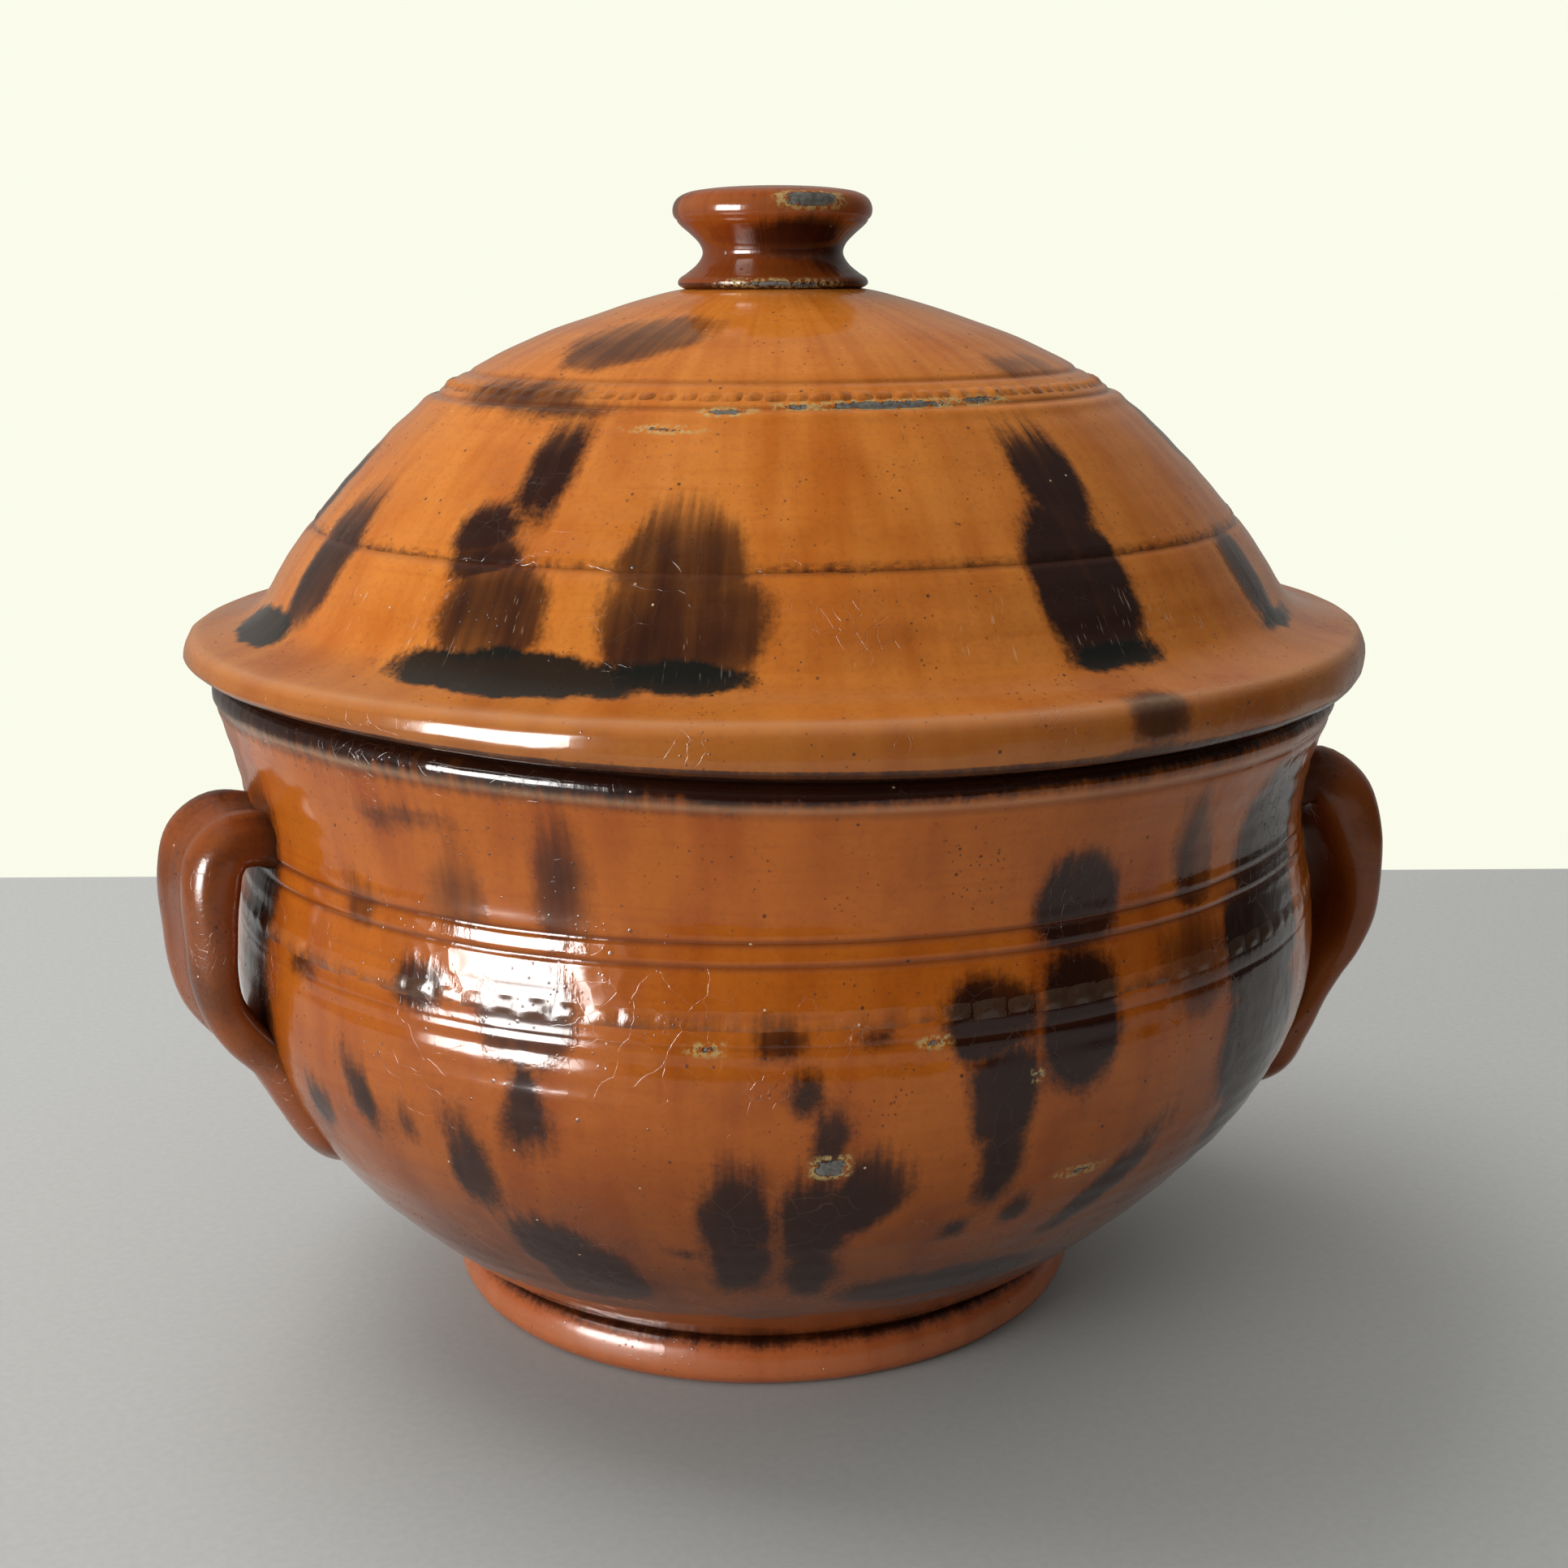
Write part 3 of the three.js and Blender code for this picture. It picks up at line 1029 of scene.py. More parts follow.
@dataclass(frozen=True)
class CoggledBand:
    """One ring of beads rolled into the clay by a coggle wheel.

    Args:
        name: The piece's name.
        body: The body that it rides on.
        slot: Its finish in the solid model.
        height: Where on the wall it runs.
        count: How many beads go round.
        bead_height: How tall a bead is.
        relief: How far it stands proud.
        sunk: How far its edge lies under the wall's surface.
        overlap: How much longer a bead is than its share of the ring.
        uneven: How unlike in size the beads are, and seed which ones.
        wear: How worn it is.
        tone: How dark its lower edge is made.
    """

    name: str
    body: Body
    slot: str
    height: float
    count: int
    bead_height: float
    relief: float
    sunk: float = 0.03
    overlap: float = 1.02
    uneven: float = 0.14
    seed: int = 5
    wear: float = 0.1
    tone: float = 0.3

    def build(self, tree: NodeTree, wall: Turned, markings: Markings, throwing: Throwing,
              material: bpy.types.Material) -> bpy.types.Object:
        """Lay the band on a wall.

        Args:
            tree: The tree that makes such a ring.
            wall: The turned form that carries it.
            markings: What is brushed across the wall and so across the band.
            throwing: How uneven that wall is.
            material: The glaze.

        Returns:
            The band.
        """
        run = wall.run_at(self.height)
        at = int(np.argmin(np.abs(wall.run - run)))
        radius = float(np.interp(run, wall.run, wall.outline[:, 0]))
        rise = wall.outline[at + 2] - wall.outline[at - 2]
        tilt = math.atan2(-rise[0], rise[1])
        length = math.tau * radius / self.count * self.overlap
        piece = tree.plain_mesh(self.name, {
            "Count": self.count,
            "Radius": (radius - self.sunk * math.cos(tilt)) * MM,
            "Height": (self.height - self.sunk * math.sin(tilt)) * MM,
            "Facing Up": tilt,
            "Bead Size": (length / 2 * MM, self.bead_height / 2 * MM, self.relief * MM),
            "Unevenness": self.uneven,
            "Seed": self.seed,
            "Material": material,
        })
        true = np.array([v.co for v in piece.data.vertices]) / MM
        for vertex, place in zip(piece.data.vertices, throwing.shaped(true) * MM):
            vertex.co = place
        azimuth = np.degrees(np.arctan2(true[:, 1], true[:, 0]))
        reach = np.interp(true[:, 2], *ascending(wall))
        marks = markings.paint(piece, azimuth, reach, np.hypot(true[:, 0], true[:, 1]), wall.run_at,
                               np.ones(len(true), bool))
        # The lower part of each bead is darkened.
        low = np.maximum(marks[Mark.DAUB_AND_SHADE], (self.height - true[:, 2]) * 1.2 - 0.5)
        marks[Mark.TONE] = np.where(low > marks[Mark.DAUB_AND_SHADE], self.tone, marks[Mark.TONE])
        marks[Mark.DAUB_AND_SHADE] = low
        write_marks(piece, {**marks, Mark.WEAR: np.full(len(true), self.wear)})
        return placed(piece, self.body, self.slot)


def ascending(wall: Turned) -> tuple[np.ndarray, np.ndarray]:
    """List the heights of a wall's outer face.

    Args:
        wall: The turned form.

    Returns:
        The heights, which never fall, and how far along the face each lies.
    """
    heights = np.maximum.accumulate(wall.outline[wall.outer, 1])
    return heights + np.arange(len(heights)) * 1e-7, wall.run[wall.outer]


def placed(piece: bpy.types.Object, body: Body, slot: str, *replaced: str) -> bpy.types.Object:
    """Tie a finished piece to its body, and hide the plain solids that it stands for.

    Args:
        piece: The finished piece.
        body: The body that it rides on.
        slot: Not used.
        replaced: The solids that it stands for.

    Returns:
        The same piece.
    """
    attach(piece, body.value)
    if replaced:
        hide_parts(*replaced)
    LOG.info("%s rides on %s with %d faces", piece.name, body.value, len(piece.data.polygons))
    return piece


# ---------------------------------------------------------------------------------------------------------
# The pot
# ---------------------------------------------------------------------------------------------------------

POT_THROWING = Throwing(lean=2.0, dip=0.3, edge_lift=2.3, edge_lift_heights=(90.0, 78.0), seed=1.0)
LID_THROWING = Throwing(oval=0.2, oval_towards=70.0, edge_lift=2.8, seed=6.0)

POT_MARKS = Markings(
    strokes=(
        Stroke(-136.7, 76, 3.9, 5.6, 0.34, flare=0.2),
        Stroke(-125.7, 78.0, 3.6, 7.6, 0.32),
        Stroke(-148.5, 72, 2.8, 3.4, 0.42),
        Stroke(-141, 83.5, 6.0, 1.4, 0.35, hair=0.9),
        Stroke(-140.3, 63.8, 3.8, 2.8, 0.62),
        Stroke(-129, 62.5, 6.3, 6.0, 0.45),
        Stroke(-129, 51.6, 2.3, 5.6, 0.82, flare=0.45, hair=0.2),
        Stroke(-157.3, 61.4, 2.3, 1.5, 0.7),
        Stroke(-148, 47.9, 2.1, 4.8, 0.75, lean=-24),
        Stroke(-142.4, 45.8, 1.2, 1.9, 0.6),
        Stroke(-135.5, 41.7, 2.8, 7.4, 0.82, lean=-10, flare=0.12),
        Stroke(-156.2, 43, 2.2, 3.4, 0.7),
        Stroke(-130, 29.5, 5.6, 7.0, 0.76, hair=0.9),
        Stroke(-126.6, 24.4, 6.6, 8.4, 0.82, hair=0.8),
        Stroke(-110.5, 37.5, 4.5, 8.6, 0.88, hair=0.7),
        Stroke(-110.0, 29.8, 3.6, 8.4, 0.9, hair=0.1),
        Stroke(-98.6, 41, 4.2, 6.4, 0.86, lean=22, hair=0.7),
        Stroke(-103.4, 36.7, 3.8, 8.6, 0.92),
        Stroke(-102.7, 27.2, 2.8, 6.4, 0.9, hair=0.2),
        Stroke(-102.3, 49.6, 2.0, 4.4, 0.78),
        Stroke(-104.4, 55.3, 1.9, 2.8, 0.78),
        Stroke(-106.5, 61.2, 2.8, 2.2, 0.6),
        Stroke(-98.7, 61.4, 1.3, 0.9, 0.6),
        Stroke(-88.5, 62.3, 5.4, 4.8, 0.86),
        Stroke(-87.1, 52.8, 4.2, 6.6, 0.95),
        Stroke(-86.6, 43.8, 2.8, 7.0, 0.97, hair=0.1),
        Stroke(-79.3, 74.2, 5.8, 6.4, 0.75),
        Stroke(-79.4, 60.5, 5.6, 8.4, 0.9, hair=0.2),
        Stroke(-65.2, 77.4, 3.6, 8.4, 0.52, lean=-10),
        Stroke(-52, 63.2, 11.6, 8.4, 0.92),
        Stroke(-52.4, 49.8, 11.0, 9.0, 0.97),
        Stroke(-64.5, 64.0, 6.4, 7.0, 0.26, hair=0.8),
        Stroke(-51, 37.5, 8.0, 9.0, 0.97, hair=0.0),
        Stroke(-72.1, 35.7, 2.4, 9.6, 0.92, lean=32),
        Stroke(-86, 21.5, 13.0, 4.6, 0.74, hair=0.4),
        Stroke(-89.6, 33.7, 1.8, 2.1, 0.8),
        Stroke(-83.5, 35.6, 1.9, 2.3, 0.8),
        Stroke(-115.8, 31.2, 1.2, 0.8, 0.7),
        Stroke(-168.5, 72, 5.6, 12.0, 0.46, hair=0.6, power=2.2),
        Stroke(-166, 50, 3.0, 7.0, 0.6),
        Stroke(-172, 30, 5.0, 7.0, 0.8, hair=0.8),
        Stroke(-50, 75.5, 9.4, 11.0, 0.78, hair=0.9),
        Stroke(-30, 76, 5.0, 6.0, 0.6),
        Stroke(-26, 44, 4.0, 9.0, 0.85, lean=-14),
        Stroke(-34, 27, 4.4, 6.0, 0.85),
        Stroke(-4, 40, 6.0, 6.0, 0.8, hair=0.8),
        Stroke(8, 66, 5.4, 8.5, 0.85),
        Stroke(12, 46, 3.2, 8.5, 0.92, flare=-0.2),
        Stroke(26, 30, 5.2, 9.0, 0.85, lean=18, hair=0.8),
        Stroke(31, 78, 4.0, 6.4, 0.5),
        Stroke(40, 57, 2.4, 3.4, 0.7),
        Stroke(52, 61, 6.4, 7.4, 0.82),
        Stroke(54, 43, 3.4, 9.6, 0.9),
        Stroke(66, 27, 8.0, 6.4, 0.75, hair=0.9),
        Stroke(74, 80, 4.6, 6.6, 0.55),
        Stroke(80, 47, 2.4, 6.4, 0.8, lean=-22),
        Stroke(92, 39, 4.6, 9.0, 0.9, hair=0.7),
        Stroke(101, 64, 7.0, 6.0, 0.8),
        Stroke(104, 50, 3.6, 8.0, 0.9),
        Stroke(116, 31, 3.4, 8.0, 0.85, lean=24),
        Stroke(127, 76, 5.4, 7.0, 0.6),
        Stroke(133, 55, 4.6, 8.4, 0.85),
        Stroke(140, 34, 6.0, 8.0, 0.8, hair=0.9),
        Stroke(156, 62, 3.4, 6.0, 0.8),
        Stroke(164, 40, 4.4, 8.4, 0.85),
    ),
    chips=(
        Stroke(-102.2, 45.6, 1.7, 1.1, power=6),
        Stroke(-77, 39.8, 1.6, 0.35),
        Stroke(-84, 54.6, 0.5, 0.45),
        Stroke(-113, 60.3, 0.9, 0.3),
        Stroke(-93.5, 60.2, 0.8, 0.3),
        Stroke(60, 60.3, 1.4, 0.4),
        Stroke(120, 47, 1.2, 0.8),
    ),
    seed=3.0,
)

LID_MARKS = Markings(
    strokes=(
        Stroke(-139, 137.4, 9.6, 7.0, 0.45, lean=-30),
        Stroke(-151, 130.8, 11.0, 3.6, 0.5),
        Stroke(-141, 129.6, 7.0, 2.0, 0.6),
        Stroke(-135.7, 123.2, 3.2, 7.6, 0.84, hair=0.6, power=3.2),
        Stroke(-140.3, 116, 4.2, 4.0, 0.84),
        Stroke(-138.6, 113, 4.6, 3.6, 0.78),
        Stroke(-135.6, 108.2, 7.4, 6.4, 0.60, flare=0.2),
        Stroke(-116.4, 113.6, 7.4, 9.4, 0.58, flare=0.25, hair=0.9, power=2.1),
        Stroke(-115.8, 107.4, 9.8, 7.6, 0.60, hair=0.3),
        Stroke(-165.6, 111, 5.6, 10.6, 0.66, hair=0.8),
        Stroke(-53.8, 133.9, 7.0, 3.0, 0.35),
        Stroke(-71.6, 121.5, 4.6, 8.4, 0.86, hair=0.9),
        Stroke(-74, 110.5, 7.4, 11.0, 0.88, flare=0.12, hair=0.2),
        Stroke(-75, 97.6, 4.2, 3.6, 0.66),
        Stroke(-44, 108, 5.0, 7.0, 0.8),
        Stroke(-24, 124, 7.0, 7.0, 0.5),
        Stroke(-8, 110, 5.4, 9.0, 0.82, hair=0.9),
        Stroke(18, 132, 8.0, 5.0, 0.5),
        Stroke(28, 112, 8.4, 8.6, 0.7, hair=0.9),
        Stroke(55, 121, 3.2, 7.4, 0.85),
        Stroke(62, 108, 5.6, 6.4, 0.8),
        Stroke(84, 134, 8.0, 4.4, 0.42),
        Stroke(96, 111, 8.0, 9.6, 0.72, hair=0.9),
        Stroke(121, 119, 4.4, 8.4, 0.84, hair=0.8),
        Stroke(128, 98, 4.2, 3.4, 0.6),
        Stroke(148, 109, 7.0, 7.4, 0.66),
        Stroke(161, 131, 7.0, 4.0, 0.5),
        Stroke(176, 118, 3.4, 7.0, 0.8),
    ),
    pools=(
        Stroke(-132.5, 101.2, 18.0, 3.9),
        Stroke(-114.6, 101.8, 8.6, 2.3),
        Stroke(-172.3, 101.2, 12.4, 3.6),
        Stroke(-73.3, 102.2, 8.0, 2.2),
        Stroke(-42.8, 102, 8.0, 2.3),
        Stroke(-8, 101.8, 9.0, 2.3),
        Stroke(30, 101.6, 13.0, 3.0),
        Stroke(62, 102, 6.0, 1.6),
        Stroke(97, 101.6, 12.0, 2.8),
        Stroke(147, 101.8, 10.0, 2.4),
    ),
    chips=(
        Stroke(-113.8, 129.6, 2.2, 0.75),
        Stroke(-103.8, 130.0, 1.2, 0.35),
        Stroke(-92.5, 130.1, 5.6, 0.55),
        Stroke(-87, 130.2, 4.6, 0.5),
        Stroke(-74.2, 130.4, 2.4, 0.5),
        Stroke(-122, 127.6, 1.6, 0.25),
        Stroke(-20, 130.2, 4.0, 0.6),
        Stroke(66, 130.2, 3.0, 0.6),
        Stroke(140, 97.5, 2.0, 0.8),
    ),
    seed=9.0,
)


def wells(rings: Sequence[Ring], wall: Turned) -> np.ndarray:
    """Return how much glaze has gathered in the rings at each point of a wall."""
    cut = sum(np.clip(ring.cut(wall.height), 0.0, None) for ring in rings)
    return np.where(wall.outside, np.clip(cut * 2.2, 0.0, 1.0), 0.0)


@dataclass(frozen=True)
class Foot:
    """The turned foot: a low disc with a rounded edge and a shallow hollow under it.

    Args:
        slot: Its finish in the solid model.
        stations: Radius and height of its edge, from the ground up.
        hollow: Radius and height of the hollow.
        segments: How many faces go round.
    """

    slot: str = "foot"
    stations: Sequence[Pair] = (
        (36.6, 0.0), (43.6, 0.0), (45.2, 0.5), (46.3, 1.9), (46.5, 3.6), (45.9, 5.4), (44.9, 6.7),
    )
    hollow: Pair = (34.6, 1.4)
    segments: int = 256

    def build(self, material: bpy.types.Material) -> bpy.types.Object:
        """Turn the foot.

        Args:
            material: Its glaze.

        Returns:
            The foot.
        """
        edge = respaced(smooth_line(self.stations), 0.45)
        under = respaced(np.array([(0.0, self.hollow[1]), self.hollow, self.stations[0]]), 3.0)
        top = respaced(np.array([self.stations[-1], (0.0, 6.9)]), 5.0)
        under[0, 0] = top[-1, 0] = 0.0
        outline = np.vstack([under[:-1], edge, top[1:]])
        turned = Turned("foot_ring_fired", outline, self.segments, POT_THROWING)
        bare = np.clip(1.15 - turned.height / 1.6, 0.0, 1.0)
        write_marks(turned.object, {
            Mark.BARE: np.where(turned.height < 2.0, bare, 0.0),
            Mark.WEAR: smoothstep(turned.radius, 46.0, 46.5) * 0.2,
            # Painted shade: the top of the foot, in the crease under the bowl, is darkened with the manganese
            # tone.
            Mark.DAUB_AND_SHADE: (turned.height - 5.9) * 1.6 - 0.4,
            Mark.TONE: np.full(len(turned.height), 0.8),
        })
        turned.object.data.materials.append(material)
        return placed(turned.object, Body.POT, self.slot, "foot_ring")


@dataclass(frozen=True)
class Bowl:
    """The bowl: a full belly, two grooves round the shoulder and a neck that opens to the rim.

    Args:
        slot: Its finish in the solid model.
        side: Radius and height of its outer face, from the foot to the mouth.
        rings: The grooves and ridges on that face.
        wall: How thick the wall is.
        floor: How high the floor lies inside at its middle, and floor_radius where it starts to curve up.
        segments: How many faces go round.
    """

    slot: str = "pot_glaze"
    side: Sequence[Pair] = (
        (43.0, 7.2), (45.0, 7.5), (47.6, 9.1), (55.8, 16), (62.3, 22.3), (68, 29), (72.4, 35), (75.6, 41.5),
        (77.3, 47.5), (77.8, 54), (77.3, 60.5), (76.2, 67), (75.5, 74), (76.2, 80), (78.0, 86), (79.0, 88.6),
        (78.9, 90.2), (77.9, 91.0), (76.2, 90.9), (75.0, 90.0),
    )
    rings: Sequence[Ring] = (
        Ring(72.1, 0.38, 0.36), Ring(69.4, 0.34, 0.36), Ring(62.4, -0.10, 1.6), Ring(60.3, 0.10, 0.3),
        Ring(87.6, 0.20, 0.5),
    )
    wall: float = 4.8
    floor: float = 13.6
    floor_radius: float = 40.0
    segments: int = 400

    def build(self, material: bpy.types.Material) -> Turned:
        """Turn the bowl and brush it.

        Args:
            material: Its glaze.

        Returns:
            The bowl, whose wall also carries a beaded band.
        """
        outer = smooth_line(self.side)
        detail = [ring.height for ring in self.rings]
        side = respaced(outer, 0.85, detail)
        side[:, 0] -= sum(ring.cut(side[:, 1]) for ring in self.rings) * (side[:, 0] > 75.2)
        body = outer[(outer[:, 1] > 20.0) & (outer[:, 1] < 89.0)]
        inner = moved_left(body, self.wall)[::-1]
        base = smooth_line([tuple(inner[-1]), (inner[-1][0] - 9.0, 16.6), (self.floor_radius, 14.4),
                            (24.0, 13.8), (0.0, self.floor)])
        inside = respaced(np.vstack([inner, base[1:]]), 2.4)
        under = respaced(np.array([(0.0, 7.2), self.side[0]]), 5.0)
        under[0, 0] = inside[-1, 0] = 0.0
        outline = np.vstack([under[:-1], side, inside])
        outside = np.arange(len(outline)) < len(under) - 1 + len(side)
        turned = Turned("pot_bowl_glazed", outline, self.segments, POT_THROWING, outside)
        run = turned.run[turned.owner]
        marks = POT_MARKS.paint(turned.object, turned.azimuth, run, turned.radius, turned.run_at,
                                turned.outside)
        marks[Mark.WEAR] = np.exp(-((turned.height - 88.3) / 0.45) ** 2) * 0.5
        # Painted shade: the top of the rim, under the lid's flange, is darkened with the manganese tone,
        # reaching lower round azimuth 190.
        near_left = np.maximum(np.cos(np.radians(turned.azimuth - 190.0)), 0.0)
        rim = (turned.height - 89.4 + near_left * 1.6) * 1.2
        marks[Mark.TONE] = np.where(rim > marks[Mark.DAUB_AND_SHADE], 1.0, marks[Mark.TONE])
        marks[Mark.DAUB_AND_SHADE] = np.maximum(marks[Mark.DAUB_AND_SHADE], rim)
        marks[Mark.WELL_AND_SHADE] = wells(self.rings, turned)
        write_marks(turned.object, marks)
        turned.object.data.materials.append(material)
        placed(turned.object, Body.POT, self.slot, "pot_bowl")
        return turned


@dataclass(frozen=True)
class Strap:
    """A strap handle pulled from a lump of clay, pressed on at the shoulder and smeared down the belly.

    Args:
        name: The piece's name.
        node: The solid that it stands for.
        azimuth: Where round the pot it sits, in degrees.
        twist: How far it is twisted at its middle, in degrees.
        line: The middle of the strap from its root to its tip, by distance from the axis and height.
        slot: Its finish in the solid model.
        width: How wide the strap is, and thickness how thick.
        shoulder: How much thicker it is just below its root.
        groove: How deep the groove down its face is, and groove_half_width half its width.
        around: How many points go round the strap, and line_step how far apart they are along it.
    """

    name: str
    node: str
    azimuth: float
    twist: float
    line: Sequence[Pair]
    slot: str = "handle_glaze"
    width: float = 21.0
    thickness: float = 5.4
    shoulder: float = 0.35
    groove: float = 1.25
    groove_half_width: float = 2.6
    around: int = 56
    line_step: float = 0.62

    def section(self) -> np.ndarray:
        """Draw the strap's section at size 1: a rounded oblong.

        Returns:
            Each point's place across the strap and out from its middle.
        """
        turn = np.arange(self.around) * math.tau / self.around
        power = 0.42
        across = np.sign(np.cos(turn)) * np.abs(np.cos(turn)) ** power
        out = np.sign(np.sin(turn)) * np.abs(np.sin(turn)) ** (power * 1.7)
        return np.column_stack([across, out])

    def section_at(self, t: float) -> tuple[np.ndarray, np.ndarray]:
        """Shape the section at one place along the strap, where it is thinned, grooved and twisted.

        Args:
            t: The place, 0 at the root and 1 at the tip.

        Returns:
            How far across the strap and how far out from its middle each point lies.
        """
        section = self.section()
        root = 1.0 - float(smoothstep(np.array(t), 0.0, 0.16))
        tail = float(smoothstep(np.array(t), 0.50, 0.80))
        tip = float(smoothstep(np.array(t), 0.80, 1.0))
        bend = math.exp(-((t - 0.55) / 0.14) ** 2)
        crest = math.exp(-((t - 0.20) / 0.16) ** 2)
        half = self.width / 2 * (1 - 0.22 * root + 0.10 * tail - 0.14 * bend)
        half *= math.sqrt(max(1 - tip ** 2 * 0.97, 0.02))
        thick = self.thickness / 2 * (1 + 0.3 * root + self.shoulder * crest) * (1 - 0.4 * tip)
        deep = self.groove * (1 - 0.75 * root) * (1 - 0.8 * tail)
        u = section[:, 0] * half
        v = section[:, 1] * thick
        face = np.maximum(section[:, 1], 0.0)
        ridges = 0.35 * np.exp(-((np.abs(u) - half * 0.62) / 2.4) ** 2)
        v = v + face * (ridges - deep * np.exp(-(u / self.groove_half_width) ** 2))
        v = v - tail * (u / half) ** 2 * 1.1
        twist = math.radians(self.twist) * math.sin(math.pi * min(t * 1.25, 1.0))
        return u * math.cos(twist) - v * math.sin(twist), u * math.sin(twist) + v * math.cos(twist)

    def build(self, material: bpy.types.Material) -> bpy.types.Object:
        """Sweep the strap along its line.

        Args:
            material: Its glaze.

        Returns:
            The strap.
        """
        line = respaced(smooth_line(self.line), self.line_step)
        travel = np.gradient(line, axis=0)
        travel /= np.linalg.norm(travel, axis=1, keepdims=True)
        outward = np.column_stack([-travel[:, 1], travel[:, 0]])
        run = lengths_along(line) / lengths_along(line)[-1]
        angle = math.radians(self.azimuth)
        radial = np.array([math.cos(angle), math.sin(angle), 0.0])
        sideways = np.array([-math.sin(angle), math.cos(angle), 0.0])
        rings = []
        for (radius, height), (out_r, out_z), t in zip(line, outward, run):
            across, out = self.section_at(t)
            middle = radial * radius + np.array([0.0, 0.0, height])
            away = radial * out_r + np.array([0.0, 0.0, out_z])
            rings.append(middle + across[:, None] * sideways + out[:, None] * away)
        points = np.vstack(rings)
        points = points + [Vector(noise.noise_vector(Vector(p) / 7.0)) * 0.22 for p in points]
        count, around = len(rings), self.around
        faces = [
            [i * around + k, i * around + (k + 1) % around, (i + 1) * around + (k + 1) % around,
             (i + 1) * around + k]
            for i in range(count - 1) for k in range(around)
        ]
        faces.append(list(range(around))[::-1])
        faces.append([(count - 1) * around + k for k in range(around)])
        piece = mesh_object(self.name, points, faces)
        turn_outward(piece)
        tight = np.repeat(1.0 - smoothstep(np.minimum(run, 1.2 - run), 0.02, 0.22), around)
        edge = np.tile(np.abs(self.section()[:, 0]) ** 6, count)
        write_marks(piece, {
            Mark.DAUB_AND_SHADE: tight * 2.6 - 1.7 + np.array([noise.noise(Vector(p) / 9.0) for p in points]) * 3.0,
            Mark.TONE: np.full(len(points), 0.5),
            Mark.WEAR: edge * 0.06,
        })
        piece.data.materials.append(material)
        return placed(piece, Body.POT, self.slot, self.node)


def turn_outward(piece: bpy.types.Object) -> None:
    """Make every face of a closed piece point out.

    Args:
        piece: The closed piece.
    """
    shape = bmesh.new()
    shape.from_mesh(piece.data)
    bmesh.ops.remove_doubles(shape, verts=shape.verts, dist=1e-7)
    bmesh.ops.recalc_face_normals(shape, faces=shape.faces)
    shape.to_mesh(piece.data)
    shape.free()
    piece.data.shade_smooth()


# ---------------------------------------------------------------------------------------------------------
# The lid
# ---------------------------------------------------------------------------------------------------------


